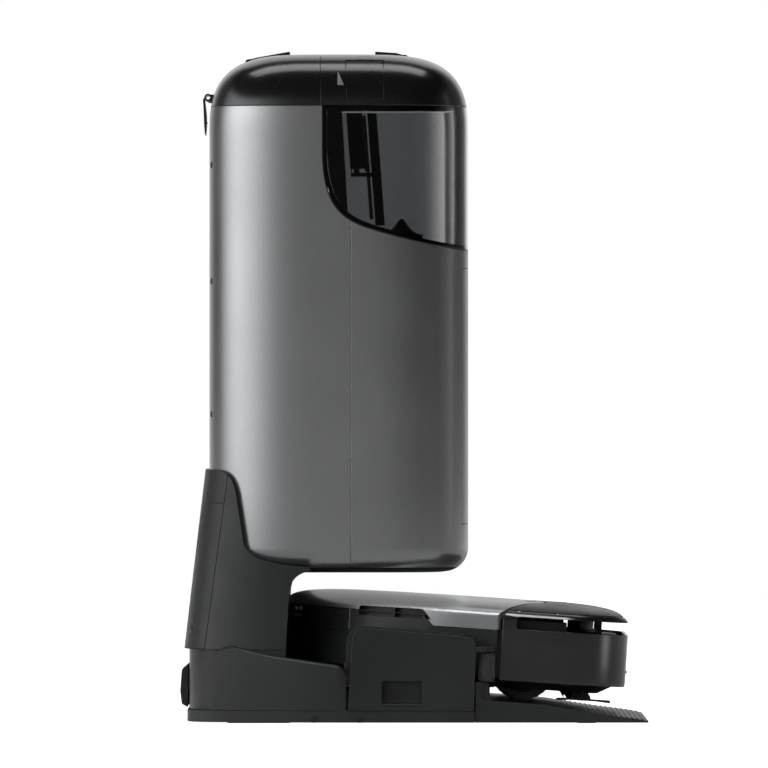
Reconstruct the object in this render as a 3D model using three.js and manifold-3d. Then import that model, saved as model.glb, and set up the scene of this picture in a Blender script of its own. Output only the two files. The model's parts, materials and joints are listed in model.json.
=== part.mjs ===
// Robot vacuum and mop, parked on its self-emptying, self-washing dock.
// Millimetres, +Z up, +X the way the robot drives out of the dock, +Y to the robot's left.
// The origin is the middle of the footprint, on the floor.
import * as THREE from "three";
import { mergeVertices } from "three/addons/utils/BufferGeometryUtils.js";
import Module from "manifold-3d";

const wasm = await Module();
wasm.setup();

// ---- Driving dimensions ----
const WALL = 3; // moulded wall thickness
const GAP = 0.4; // clearance between neighbouring pieces
const FAR = 600; // larger than the object, for half-space cutters
const PLAN_SIDES = 32; // points round a tower outline

const REAR_X = -232; // back of the cord cover
const TIP_X = 232; // front lip of the ramp
const SIDE_Y = 196; // outer face of the side wings
const UNDERSIDE_Z = 1.5; // base above the floor, on its foot pads
const PLINTH_Z = 13; // top of the plinth round the base

const TOWER_X = -74; // middle of the tower
const TOWER_A = 129; // half depth
const TOWER_B = 172; // half width
const TOWER_POWER = 4.6; // superellipse power of the plan
const TOWER_BOTTOM = 149;
const TOWER_FILLET = 24;
const SHELL_FOOT = 154; // metal-look shells start here, above the bottom cover
const SHELL_TOP = 610.6;
const LID_FOOT = 611.2;
const TOWER_TOP = 663;
const DOME_START = 582; // the tower leans in above this height
const DOME_INSET = 95;
const SEAM_X = -62; // parting line between the front and rear shells
const LID_SPLIT_X = -92; // between the two lids
const WINDOW_BACK_X = -90.2; // rear edge of the window over the clean tank

const PITCH = THREE.MathUtils.degToRad(3.8); // the parked robot sits nose down
const PARK_X = 40; // centre of the robot's round back
const PARK_Z = 27; // floor plane of the robot under that centre
const ROBOT_R = 172; // radius of the round back, and half the width
const ROBOT_FRONT = 169;
const ROBOT_CORNER = 64; // front corner radius
const ROBOT_TOP = 96;
const ROBOT_DOME_START = 78;
const ROBOT_DOME_INSET = 90;
const ROBOT_BOTTOM = 11;
const ROBOT_FILLET = 12; // round under the robot's rear half
const NOSE_CHAMFER = { z: 20.7, inset: 18 }; // the pan slopes up under the nose
const SEAM_SIDE_X = 38; // seam between top shell and nose, at the sides
const SEAM_BOW = 47; // how much further forward it lies in the middle
const BUMPER_TRAVEL_GAP = 6;
const BUMPER_BACK = 5.6; // bumper's rear edge ahead of the seam
const TANK_ROOM = 2; // the dirty tank slides up past the leaning top of the shell

// ---- Solids ----
// A closed solid for manifold-3d from any closed geometry.
function solid(geometry) {
  const bare = geometry.index ? geometry.toNonIndexed() : geometry.clone();
  bare.deleteAttribute("normal");
  bare.deleteAttribute("uv");
  const merged = mergeVertices(bare, 1e-3);
  return new wasm.Manifold(
    new wasm.Mesh({
      numProp: 3,
      vertProperties: merged.attributes.position.array,
      triVerts: new Uint32Array(merged.index.array),
    }),
  );
}

function geometryOf(made) {
  const mesh = made.getMesh();
  const geometry = new THREE.BufferGeometry();
  geometry.setAttribute("position", new THREE.BufferAttribute(new Float32Array(mesh.vertProperties), 3));
  geometry.setIndex(new THREE.BufferAttribute(new Uint32Array(mesh.triVerts), 1));
  geometry.computeVertexNormals();
  return geometry;
}

const join = (...parts) => parts.reduce((sum, part) => sum.add(part));
const cut = (body, ...tools) => tools.reduce((rest, tool) => rest.subtract(tool), body);

function box(x0, x1, y0, y1, z0, z1) {
  const geometry = new THREE.BoxGeometry(x1 - x0, y1 - y0, z1 - z0);
  geometry.translate((x0 + x1) / 2, (y0 + y1) / 2, (z0 + z1) / 2);
  return solid(geometry);
}

// A cylinder or cone along one axis, centred on a point.
function rod(axis, [x, y, z], radius, length, sides = 24, endRadius = radius) {
  const geometry = new THREE.CylinderGeometry(endRadius, radius, length, sides);
  if (axis === "x") geometry.rotateZ(-Math.PI / 2);
  if (axis === "z") geometry.rotateX(Math.PI / 2);
  geometry.translate(x, y, z);
  return solid(geometry);
}

const vectors = (points) => points.map(([x, y]) => new THREE.Vector2(x, y));
const shapeOf = (outline) => (outline instanceof THREE.Shape ? outline : new THREE.Shape(vectors(outline)));

// A side outline of [x, z] points or a THREE.Shape, carried across from y0 to y1.
function prism(outline, y0, y1, curveSegments = 8) {
  const settings = { depth: y1 - y0, bevelEnabled: false, curveSegments };
  const geometry = new THREE.ExtrudeGeometry(shapeOf(outline), settings);
  geometry.rotateX(Math.PI / 2).translate(0, y1, 0);
  return solid(geometry);
}

// A plan outline of [x, y] points or a THREE.Shape, raised from z0 to z1.
function slab(outline, z0, z1, curveSegments = 8) {
  const settings = { depth: z1 - z0, bevelEnabled: false, curveSegments };
  return solid(new THREE.ExtrudeGeometry(shapeOf(outline), settings).translate(0, 0, z0));
}

// A turned solid from [radius, height] points, standing on a point.
function turned(profile, [x, y, z], sides) {
  return solid(new THREE.LatheGeometry(vectors(profile), sides).rotateX(Math.PI / 2).translate(x, y, z));
}

// A solid skinned over stacked convex outlines with the same number of points, lowest first.
function loft(layers) {
  const count = layers[0].points.length;
  const positions = layers.flatMap(({ z, points }) => points.flatMap(([x, y]) => [x, y, z]));
  const index = [];
  for (let layer = 0; layer + 1 < layers.length; layer += 1) {
    for (let i = 0; i < count; i += 1) {
      const a = layer * count + i;
      const b = layer * count + ((i + 1) % count);
      index.push(a, b, b + count, a, b + count, a + count);
    }
  }
  const top = (layers.length - 1) * count;
  for (let i = 1; i + 1 < count; i += 1) {
    index.push(0, i + 1, i, top, top + i, top + i + 1);
  }
  const geometry = new THREE.BufferGeometry();
  geometry.setAttribute("position", new THREE.Float32BufferAttribute(positions, 3));
  geometry.setIndex(index);
  return solid(geometry);
}

// ---- Shared forms ----
// How far a domed shape has come in at a height: a cubic roll over towards its flat top.
function domeInset(z, start, top, inset) {
  const t = THREE.MathUtils.clamp((z - start) / (top - start), 0, 1);
  return inset * (1 - Math.cbrt(1 - t ** 3));
}

function filletInset(z, bottom, radius) {
  const t = THREE.MathUtils.clamp((bottom + radius - z) / radius, 0, 1);
  return radius * (1 - Math.sqrt(1 - t * t));
}

function superellipse(a, b) {
  return Array.from({ length: PLAN_SIDES }, (_, i) => {
    const angle = (2 * Math.PI * (i + 0.5)) / PLAN_SIDES;
    const c = Math.cos(angle);
    const s = Math.sin(angle);
    const power = 2 / TOWER_POWER;
    return [TOWER_X + a * Math.sign(c) * Math.abs(c) ** power, b * Math.sign(s) * Math.abs(s) ** power];
  });
}

const towerInset = (z) =>
  filletInset(z, TOWER_BOTTOM, TOWER_FILLET) + domeInset(z, DOME_START, TOWER_TOP, DOME_INSET);

// The tower's outer form between heights, drawn in by an extra inset and lowered by a drop.
function towerForm(heights, inset = 0, drop = 0) {
  return loft(
    heights.map((z) => {
      const d = towerInset(z + drop) + inset;
      return { z, points: superellipse(TOWER_A - d, TOWER_B - d) };
    }),
  );
}

// The D outline of the robot: round back, straight sides and rounded front corners.
function robotOutline(inset) {
  const r = ROBOT_R - inset;
  const corner = Math.max(ROBOT_CORNER - inset, 4);
  const cornerX = ROBOT_FRONT - ROBOT_CORNER;
  const cornerY = ROBOT_R - ROBOT_CORNER;
  const arc = (x, y, radius, from, to, steps) =>
    Array.from({ length: steps + 1 }, (_, i) => {
      const angle = from + ((to - from) * i) / steps;
      return [x + radius * Math.cos(angle), y + radius * Math.sin(angle)];
    });
  return [
    ...arc(0, 0, r, Math.PI / 2, 1.5 * Math.PI, 18),
    ...arc(cornerX, -cornerY, corner, -Math.PI / 2, 0, 5),
    ...arc(cornerX, cornerY, corner, 0, Math.PI / 2, 5),
  ];
}

// The robot's outer form in its own frame: floor plane at z 0, centre of the round back at x 0.
function robotForm(heights, inset = 0, drop = 0) {
  return loft(
    heights.map((z) => {
      const foot = filletInset(z, ROBOT_BOTTOM, ROBOT_FILLET);
      const dome = domeInset(z + drop, ROBOT_DOME_START, ROBOT_TOP, ROBOT_DOME_INSET);
      return { z, points: robotOutline(foot + dome + inset) };
    }),
  );
}

// The seam across the robot's top, bowed forward in the middle, shifted along X.
function seamRegion(shift, z0, z1, side) {
  const steps = 12;
  const seam = Array.from({ length: steps + 1 }, (_, i) => {
    const y = -ROBOT_R + (2 * ROBOT_R * i) / steps;
    return [SEAM_SIDE_X + SEAM_BOW * (1 - (y / ROBOT_R) ** 2) ** 0.7 + shift, y];
  });
  const line = [[seam[0][0], -FAR], ...seam, [seam[0][0], FAR]];
  if (side === "rear") return slab([...line, [-FAR, FAR], [-FAR, -FAR]], z0, z1);
  return slab([[FAR, FAR], [FAR, -FAR], ...line].reverse(), z0, z1);
}

// The slanting edge of the window over the clean tank, as a closed region above it.
function windowRegion(dx, dz, y0, y1) {
  const shape = new THREE.Shape();
  shape.moveTo(WINDOW_BACK_X + dx, 640);
  shape.lineTo(WINDOW_BACK_X + dx, 566 + dz);
  shape.bezierCurveTo(WINDOW_BACK_X + dx, 500 + dz, -62 + dx, 494 + dz, -26 + dx, 483.6 + dz);
  shape.quadraticCurveTo(15, 472 + dz, 60, 467.2 + dz);
  shape.lineTo(60, 640);
  return prism(shape, y0, y1, 10);
}

// ---- Materials ----
function finish(color, roughness, metalness = 0) {
  return new THREE.MeshStandardMaterial({ color, roughness, metalness });
}
const graphite = finish(0x6f7173, 0.38, 0.85);
const satinBlack = finish(0x2a2c2d, 0.55);
const glossBlack = finish(0x141516, 0.12);
const matteBlack = finish(0x1c1d1e, 0.75);
const rubber = finish(0x101010, 0.9);
const smoke = finish(0x3c3e40, 0.08);
const fabric = finish(0x8b8f92, 0.95);
const paper = finish(0xd9d6cc, 0.9);
const copper = finish(0xb08a4a, 0.3, 1);
const steel = finish(0xb8babc, 0.3, 1);
const board = finish(0x1d5a38, 0.6);

const robotVacuum = new THREE.Group();
const parked = new THREE.Group(); // frame of the parked robot and of the sloping garage floor
parked.position.set(PARK_X, 0, PARK_Z);
parked.rotation.y = PITCH;
parked.updateMatrixWorld(true);
robotVacuum.add(parked);

function add(group, name, made, material) {
  const mesh = new THREE.Mesh(geometryOf(made), material);
  mesh.name = name;
  group.add(mesh);
}
const toDock = (name, made, material) => add(robotVacuum, name, made, material);
const toParked = (name, made, material) => add(parked, name, made, material);

// Carries a solid made in the parked frame into the dock's frame.
const sloped = (made) => solid(geometryOf(made).applyMatrix4(parked.matrixWorld));

// ---- Base ----
// Half of the base plan flares from the column out to the side wings.
function basePlan(inset) {
  const shape = new THREE.Shape();
  const y = SIDE_Y - 1 - inset;
  const back = -224 + inset;
  shape.moveTo(60 - inset, y);
  shape.lineTo(-66, y);
  shape.quadraticCurveTo(-150, 188 - inset, -198, 172 - inset);
  shape.quadraticCurveTo(back, 162 - inset, back, 120);
  shape.lineTo(back, -120);
  shape.quadraticCurveTo(back, -162 + inset, -198, -172 + inset);
  shape.quadraticCurveTo(-150, -188 + inset, -66, -y);
  shape.lineTo(60 - inset, -y);
  return shape;
}

const FLOOR_DROP = 1.2; // garage floor below the robot's floor plane
const WASH = { x0: -158, x1: -62, y: 140, depth: 7 };

function baseTray() {
  const bed = { x0: -123, x1: 59.6, y: 178 };
  const floorTop = sloped(box(-166, 19, -bed.y, bed.y, -60, -FLOOR_DROP));
  const bedBlock = floorTop.intersect(box(bed.x0, bed.x1, -bed.y, bed.y, 5, 60));
  const hollowTop = sloped(box(-170, 20, -bed.y + WALL, bed.y - WALL, -60, -FLOOR_DROP - WASH.depth - 4));
  const bedRoom = hollowTop.intersect(box(bed.x0 + WALL, bed.x1 - WALL, -bed.y, bed.y, -5, 60));
  const outer = join(slab(basePlan(0), UNDERSIDE_Z, PLINTH_Z, 6), bedBlock);
  const inner = join(slab(basePlan(WALL), -5, PLINTH_Z - WALL, 6), bedRoom);
  const washRecess = sloped(
    box(WASH.x0 - GAP, WASH.x1 + GAP, -WASH.y - GAP, WASH.y + GAP, -FLOOR_DROP - WASH.depth - GAP, 5),
  );
  return cut(outer, inner, washRecess);
}
toDock("base_tray", baseTray(), satinBlack);

function washTray() {
  const top = -FLOOR_DROP;
  const tray = cut(
    box(WASH.x0, WASH.x1, -WASH.y, WASH.y, top - WASH.depth, top),
    box(WASH.x0 + 2.5, WASH.x1 - 2.5, -WASH.y + 2.5, WASH.y - 2.5, top - WASH.depth + 2.5, 5),
  );
  const ribs = Array.from({ length: 7 }, (_, i) => {
    const y = -105 + i * 35;
    return box(WASH.x0 + 1, WASH.x1 - 1, y - 2, y + 2, top - WASH.depth + 1, top - 1.5);
  });
  return join(tray, ...ribs);
}
toParked("wash_tray", washTray(), matteBlack);

// The ramp falls in three easy slopes to the floor and is open underneath.
const RAMP_BACK = 60.4;
const RAMP_TOP = [
  [RAMP_BACK, 23.6],
  [100, 21.2],
  [133, 18.4],
  [154, 14.8],
  [182, 10.4],
  [224, 4.8],
  [TIP_X, 2.6],
];
function entryRamp() {
  const width = SIDE_Y - 4;
  const profile = [[RAMP_BACK, UNDERSIDE_Z], ...RAMP_TOP, [TIP_X, UNDERSIDE_Z]];
  const outer = prism(profile.reverse(), -width, width);
  const under = RAMP_TOP.slice(0, 5).map(([x, z]) => [Math.max(x, 66), z - WALL]);
  const inner = prism([[66, -4], ...under, [190, -4]].reverse(), -width + 4, width - 4);
  const cornerColumns = [-1, 1].map((s) =>
    join(box(RAMP_BACK, 66, s * 188 - 4, s * 188 + 4, 2, 41), rod("z", [66, s * 182.5, 21.5], 9.5, 39, 16)),
  );
  const wingRoom = box(-FAR, RAMP_BACK + 0.8, -FAR, FAR, PLINTH_Z + 0.1, 60);
  return cut(join(cut(outer, inner), ...cornerColumns), wingRoom, box(-FAR, RAMP_BACK, -FAR, FAR, 0, 60));
}
toDock("entry_ramp", entryRamp(), satinBlack);

const WING_OUTLINE = new THREE.Shape();
WING_OUTLINE.moveTo(-64.5, PLINTH_Z + 0.3);
WING_OUTLINE.lineTo(59.6, PLINTH_Z + 0.3);
WING_OUTLINE.lineTo(61.8, 76);
WING_OUTLINE.quadraticCurveTo(62, 85.4, 52, 86.2);
WING_OUTLINE.lineTo(-48, 94.8);
WING_OUTLINE.quadraticCurveTo(-59.6, 95.6, -60.2, 83);

const POCKET = { x0: -31.3, x1: 8.8, z0: 17.3, z1: 42.6, depth: 11 };
function sideWing(side) {
  const across = (from, to) => (side < 0 ? [-to, -from] : [from, to]);
  const outer = prism(WING_OUTLINE, ...across(SIDE_Y - 15, SIDE_Y), 4);
  const inside = [[-60, 10], [56, 10], [58, 74], [50, 82], [-46, 90], [-56, 84]];
  const hollow = prism(inside, ...across(SIDE_Y - 20, SIDE_Y - WALL));
  const { x0, x1, z0, z1, depth } = POCKET;
  const blockDepth = across(SIDE_Y - depth - 2, SIDE_Y - 1);
  const pocketBlock = box(x0 - WALL, x1 + WALL, ...blockDepth, z0 - WALL, z1 + WALL);
  const pocket = box(x0, x1, ...across(SIDE_Y - depth, SIDE_Y + 5), z0, z1);
  const rollerCap = join(
    box(58, 72, ...across(SIDE_Y - 14, SIDE_Y - 1), 71, 76),
    rod("z", [72, side * 183, 73.5], 9.5, 5, 16),
  );
  return join(cut(outer, hollow), pocketBlock, rollerCap).subtract(pocket);
}
toDock("right_side_wing", sideWing(-1), satinBlack);
toDock("left_side_wing", sideWing(1), satinBlack);

const ROLLER = { x: 72, y: 183, r: 8.3, z0: 41.8, z1: 70.2 };
for (const [name, side] of [["guide_roller_right", -1], ["guide_roller_left", 1]]) {
  const height = ROLLER.z1 - ROLLER.z0;
  toDock(name, rod("z", [ROLLER.x, side * ROLLER.y, ROLLER.z0 + height / 2], ROLLER.r, height, 20), rubber);
}

// Low arms flare from the column out to the wings; their top edge falls towards the front.
function baseFairing(side) {
  const plan = new THREE.Shape();
  plan.moveTo(-66.5, side * 195);
  plan.quadraticCurveTo(-150, side * 189, -199, side * 170);
  plan.lineTo(-192, side * 164);
  plan.quadraticCurveTo(-150, side * 181, -66.5, side * 187);
  const band = slab(plan, PLINTH_Z + 0.3, 90, 8);
  const profile = prism(
    [[-200, 10], [-200, 60], [-182, 77.5], [-147, 69], [-92, 60.5], [-64, 57], [-64, 10]].reverse(),
    -FAR,
    FAR,
  );
  return cut(band.intersect(profile), columnForm(0.35));
}

// ---- Column ----
const columnDepth = (z) => TOWER_A + 4 + (250 - z) * 0.119;
const columnWidth = (z) => TOWER_B + 3 + (250 - z) * 0.02;
function columnForm(grow) {
  const foot = superellipse(149 + grow, 178 + grow);
  const low = { z: PLINTH_Z + 0.3, points: foot };
  const step = { z: 72.7, points: foot };
  const around = (z) => superellipse(columnDepth(z) + grow, columnWidth(z) + grow);
  const tall = [73, 150, 250.6].map((z) => ({ z, points: around(z) }));
  const cup = new THREE.Shape();
  cup.moveTo(-260, PLINTH_Z);
  cup.lineTo(-129 + grow, PLINTH_Z);
  cup.lineTo(-123 + grow, 128);
  cup.quadraticCurveTo(-121, 148, -102, 150.4);
  cup.lineTo(-102, 154.6 + grow);
  cup.quadraticCurveTo(-165, 157, -168, 180 + grow);
  cup.lineTo(-174.5 + grow, 222);
  cup.quadraticCurveTo(-178, 250.6 + grow, -196, 250.6 + grow);
  cup.lineTo(-260, 250.6 + grow);
  return loft([low, step, ...tall]).intersect(prism(cup, -FAR, FAR, 6));
}

const seamAt = (z) => -212 + ((z - 33) * 27) / 200;
function rearRegion(shift, z0, z1) {
  return prism([[-FAR, z0], [seamAt(z0) + shift, z0], [seamAt(z1) + shift, z1], [-FAR, z1]], -FAR, FAR);
}

const FOOT_HEIGHTS = [SHELL_FOOT, 158, 164, 173];
const SEAT_DROP = 0.6; // room under the tower in its seat
const DUCT = { x0: -180, x1: -152, y0: 20, y1: 60 };
const ductHole = box(DUCT.x0 - 1, DUCT.x1 + 1, DUCT.y0 - 1, DUCT.y1 + 1, 100, 170);
function columnShell() {
  const inside = (z) => superellipse(columnDepth(Math.max(z, 115)) - 5, columnWidth(z) - 5);
  const room = prism([[-260, 8], [-142, 8], [-139, 136], [-144, 145], [-260, 145]], -FAR, FAR);
  const cavity = loft([8, 72, 146].map((z) => ({ z, points: inside(z) }))).intersect(room);
  const seatHeights = [TOWER_BOTTOM, 150, 151.5, ...FOOT_HEIGHTS, 270].map((z) => z - SEAT_DROP);
  const towerSeat = towerForm(seatHeights, -0.5, SEAT_DROP);
  const robotRecess = rod("z", [PARK_X, 0, 60], ROBOT_R + 5, 170, 72);
  const port = box(-150, -120, 18, 62, 62, 92); // where the robot's bin empties into the duct
  return cut(columnForm(0), cavity, towerSeat, robotRecess, ductHole, port, contactRecess());
}

const CONTACTS = { x: -142, y0: -68, y1: -18, z: 60, pins: [-56, -30] };
function contactRecess() {
  const { x, y0, y1, z } = CONTACTS;
  return box(x - 4, -120, y0 - 3, y1 + 3, z - 9, z + 9);
}

const column = columnShell();
toDock("stand_column", cut(column, rearRegion(GAP / 2, 73.2, 260)), satinBlack);
toDock("column_rear_cover", column.intersect(rearRegion(-GAP / 2, 73.6, 260)), satinBlack);
toDock("right_base_fairing", baseFairing(-1), satinBlack);
toDock("left_base_fairing", baseFairing(1), satinBlack);

// A cover low on the back, with the mains inlet standing in its recess.
function cordCover() {
  const outline = new THREE.Shape();
  outline.moveTo(-223.5, 30);
  outline.lineTo(-224.5, 13.6);
  outline.lineTo(-230.5, 17);
  outline.lineTo(REAR_X, 30);
  outline.lineTo(-230.5, 51);
  outline.lineTo(-223.5, 57);
  const recess = box(-240, -227.6, -14, 14, 24, 44);
  const inlet = box(-230.4, -227, -12, 12, 26, 42);
  const sockets = [-4, 4].map((y) => rod("x", [-230.4, y, 34], 3, 3, 12));
  return cut(join(cut(prism(outline, -58, 58), recess), inlet), ...sockets);
}
toDock("power_inlet_cover", cordCover(), satinBlack);

toDock("rear_foot_pad", box(-184, -122, -150, 150, 0, UNDERSIDE_Z + 8.2), rubber);
toDock("front_foot_pad", box(162, 181, -150, 150, 0, 6.4), rubber);

// A sprung carrier with two charging pins that press on the robot's back.
function chargeContacts() {
  const { x, y0, y1, z } = CONTACTS;
  const carrier = box(x, x + 5, y0, y1, z - 7, z + 7);
  const pins = CONTACTS.pins.map((y) => rod("x", [x + 6.5, y, z], 4, 5, 12));
  return join(carrier, ...pins);
}
toDock("charge_contacts", chargeContacts(), copper);

// ---- Tower ----
const HEAD_HEIGHTS = [DOME_START, 598, SHELL_TOP];

function towerShell() {
  const outer = towerForm([...FOOT_HEIGHTS, ...HEAD_HEIGHTS]);
  const innerHeights = [SHELL_FOOT - 1, ...FOOT_HEIGHTS.slice(1), DOME_START, 598, SHELL_TOP + 1];
  const inner = towerForm(innerHeights, WALL);
  return cut(outer, inner, windowRegion(0, 0, -FAR, FAR));
}
const shell = towerShell();
toDock("tower_rear_shell", shell.intersect(box(-FAR, SEAM_X - GAP / 2, -FAR, FAR, 0, 800)), graphite);

// The bag door takes in most of the front face and hooks in at its top edge.
const DOOR = { y: 125, z0: 197, z1: 450 };
const doorZone = (grow) =>
  box(20, FAR, -DOOR.y - grow, DOOR.y + grow, DOOR.z0 - grow, DOOR.z1 + grow);
const fingerGroove = box(53.4, 60, -32, 32, DOOR.z0 - 2.6, DOOR.z0 + 2.6);
const frontShell = shell.intersect(box(SEAM_X + GAP / 2, FAR, -FAR, FAR, 0, 800));
toDock("tower_front_shell", cut(frontShell, doorZone(GAP), fingerGroove), graphite);
toDock("bag_door", cut(frontShell.intersect(doorZone(0)), fingerGroove), graphite);
const bottomCover = cut(towerForm([TOWER_BOTTOM, 150, 151.5, SHELL_FOOT - 0.3]), ductHole);
toDock("tower_bottom_cover", bottomCover, matteBlack);

// The deck carries both tanks: flat at the back, sloping with the window at the front.
const DECK_Z = 474;
function towerDeck() {
  const inside = towerForm([400, DOME_START, 600], WALL + GAP);
  const rearFloor = box(-FAR, WINDOW_BACK_X - 0.4, -FAR, FAR, DECK_Z, DECK_Z + WALL);
  const divider = box(-92.4, WINDOW_BACK_X - 0.4, -FAR, FAR, DECK_Z, 600);
  const slope = cut(
    windowRegion(-0.4, -3.4, -FAR, FAR).intersect(box(-FAR, FAR, -FAR, FAR, 400, 600)),
    windowRegion(0.4, -0.6, -FAR, FAR),
  );
  return join(rearFloor, divider, slope).intersect(inside);
}
toDock("tower_deck", towerDeck(), matteBlack);

// Inside the tower: dust bag, suction motor, pumps, duct and control board.
function dustDuct() {
  const { x0, x1, y0, y1 } = DUCT;
  const wall = 2;
  const across = [y0 + wall, y1 - wall];
  const riser = cut(
    box(x0, x1, y0, y1, 66, 230),
    box(x0 + wall, x1 - wall, ...across, 68, 240),
    box(-160, -140, ...across, 68, 88),
  );
  const collar = cut(box(x0, -100, y0, y1, 230, 262), box(x0 + wall, -95, ...across, 225, 260));
  const plate = cut(box(-100, -97, 0, 80, 206, 286), box(-105, -90, ...across, 232, 260));
  return join(riser, collar, plate);
}
toDock("dust_duct", dustDuct(), matteBlack);

// The bag hangs behind the front door, its collar against the duct's plate.
const BAG = { x: -27, y: 32, a: 66, b: 86 };
function dustBag() {
  const rounded = (d) => {
    const shape = new THREE.Shape();
    shape.absellipse(BAG.x, BAG.y, BAG.a - d, BAG.b - d, 0, 2 * Math.PI);
    return shape.getPoints(6).slice(0, -1).map((p) => [p.x, p.y]);
  };
  const drawnIn = [[182, 30], [196, 8], [250, 0], [330, 0], [384, 8], [398, 30]];
  return loft(drawnIn.map(([z, d]) => ({ z, points: rounded(d) })));
}
toDock("dust_bag", dustBag(), paper);

const MOTOR = { x: -120, y: -70, z0: 200, r: 60 };
function motorHousing() {
  const profile = [[0, 0], [MOTOR.r - 8, 0], [MOTOR.r, 8], [MOTOR.r, 60], [40, 72], [40, 100], [0, 100]];
  const outer = turned(profile, [MOTOR.x, MOTOR.y, MOTOR.z0], 24);
  const fanRoom = rod("z", [MOTOR.x, MOTOR.y, MOTOR.z0 + 32], MOTOR.r - 5, 48, 24);
  const eye = rod("z", [MOTOR.x, MOTOR.y, MOTOR.z0], 20, 30, 16);
  return cut(outer, fanRoom, eye);
}
toDock("motor_housing", motorHousing(), matteBlack);
function impeller() {
  const hub = rod("z", [MOTOR.x, MOTOR.y, MOTOR.z0 + 30], 12, 40, 16);
  const disc = rod("z", [MOTOR.x, MOTOR.y, MOTOR.z0 + 47], 50, 4, 32);
  const blades = Array.from({ length: 9 }, (_, i) => {
    const blade = new THREE.BoxGeometry(38, 2, 28);
    blade.translate(29, 0, 0).rotateZ((i * 2 * Math.PI) / 9);
    return solid(blade.translate(MOTOR.x, MOTOR.y, MOTOR.z0 + 33));
  });
  return join(hub, disc, ...blades);
}
toDock("motor_impeller", impeller(), steel);

function pump(x, y) {
  return join(rod("y", [x, y, 446], 14, 44, 16), box(x - 16, x + 16, y + 18, y + 34, 430, 462));
}
toDock("clean_pump", pump(-30, -110), matteBlack);
toDock("dirty_pump", pump(-150, 90), matteBlack);
function controlBoard() {
  const sheet = box(-150, -60, -140, -138.4, 330, 430);
  const transformer = box(-140, -115, -138.6, -128, 340, 365);
  const processor = box(-100, -80, -138.6, -132, 385, 405);
  return join(sheet, transformer, processor);
}
toDock("control_board", controlBoard(), board);

// ---- Clean water tank ----
const TANK_TOP = 610.4;
function cleanTank() {
  const outer = towerForm([440, DOME_START, 598, TANK_TOP]).intersect(windowRegion(1.2, 1, -FAR, FAR));
  const room = windowRegion(1.2 + WALL, 1 + WALL, -FAR, FAR);
  return cut(outer, towerForm([430, DOME_START, 598, TANK_TOP + 1], WALL).intersect(room));
}
toDock("clean_tank", cleanTank(), smoke);

function tankRearChannel() {
  const outline = [[-85.4, 606], [-71, 606], [-65, 505.5], [-76, 518], [-83, 538], [-85.4, 570]];
  const inside = towerForm([440, DOME_START, 608], WALL + 0.6);
  const hollow = prism([[-83, 620], [-73.4, 620], [-69, 520], [-78, 530], [-82, 560]], -150, 150);
  const clear = windowRegion(1.8 + WALL, 1.6 + WALL, -FAR, FAR);
  return cut(prism(outline, -FAR, FAR).intersect(inside).intersect(clear), hollow);
}
toDock("tank_rear_channel", tankRearChannel(), glossBlack);

// Filter housing, bracket and suction tube, leaning a little forward as they go down.
function tankIntake() {
  const lean = (x, z) => x + (608 - z) * 0.075;
  const bar = (x0, x1, z0, z1, y) =>
    prism([[lean(x0, z0), z0], [lean(x1, z0), z0], [lean(x1, z1), z1], [lean(x0, z1), z1]], -y, y);
  const filter = bar(-67, -51, 551, 606, 26);
  const bracket = bar(-67, -36, 543, 546.5, 24);
  const stalk = bar(-64, -58, 545, 553, 6);
  const tube = bar(-46, -36.5, 494, 606, 5);
  return join(filter, bracket, stalk, tube);
}
toDock("tank_intake", tankIntake(), matteBlack);

function tankValve() {
  const cone = turned([[0, 0], [22, 0], [22, 2], [14, 5], [8, 10], [3, 17], [0, 19]], [-11, 0, 482], 20);
  return join(cone, rod("z", [-11, 0, 481], 22, 8, 20)).intersect(windowRegion(4, 5, -FAR, FAR));
}
toDock("tank_valve", tankValve(), matteBlack);

// ---- Lids, handles and latches ----
const LID_HEIGHTS = [LID_FOOT, 622, 634, 643, 650, 656, 660, 662, TOWER_TOP];
const lidForm = towerForm(LID_HEIGHTS);
const lidInside = towerForm([LID_FOOT - 1, 622, 632, 640, 646, 650, 652.6], WALL, 10);

// A carrying bail seen from the side is a tilted bar; its legs reach from pivot to grip.
const HANDLES = {
  dirty: { pivotX: -164, pivotZ: 655.6, length: 42, tilt: 5, sign: 1, legY: 66 },
  clean: { pivotX: -8, pivotZ: 660, length: 30, tilt: 3, sign: -1, legY: 66 },
};
const HANDLE_THICK = 6;
const reach = (from, to) => [Math.min(from, to), Math.max(from, to)];
function handleSolid({ pivotX, pivotZ, length, tilt, sign, legY }, grow = 0) {
  const r = HANDLE_THICK / 2 + grow;
  const open = grow ? 20 : 0; // a clearance form is open upwards
  const end = sign * (length + grow);
  const parts = [-1, 1].map((side) => {
    const y = side * legY;
    const leg = box(...reach(0, end), y - 5.5 - grow, y + 5.5 + grow, -r, r + open);
    return join(rod("y", [0, y, 0], r, 11 + 2 * grow, 16), leg);
  });
  const grip = box(...reach(sign * (length - 13 - grow), end), -legY, legY, -r, r + open);
  const overPivots = [-legY, legY].map((y) => box(-r, r, y - 5.5 - grow, y + 5.5 + grow, 0, open || r));
  return join(...parts, grip, ...(grow ? overPivots : []))
    .rotate([0, -sign * tilt, 0])
    .translate([pivotX, 0, pivotZ]);
}

// Each lid keeps its side of the split and has a finger pocket beside its handle's grip.
const FINGER_POCKETS = { dirty: [-117, -97], clean: [-87, -42] };
function lid(side) {
  const behind = side === "dirty";
  const half = (inset) => {
    const edge = LID_SPLIT_X + (behind ? -inset : inset);
    return behind ? box(-FAR, edge, -FAR, FAR, 500, 700) : box(edge, FAR, -FAR, FAR, 500, 700);
  };
  const fingers = box(...FINGER_POCKETS[side], -48, 48, 657, 700);
  const room = lidInside.intersect(half(WALL));
  return cut(lidForm.intersect(half(GAP / 2)), room, handleSolid(HANDLES[side], 0.6), fingers);
}

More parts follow.
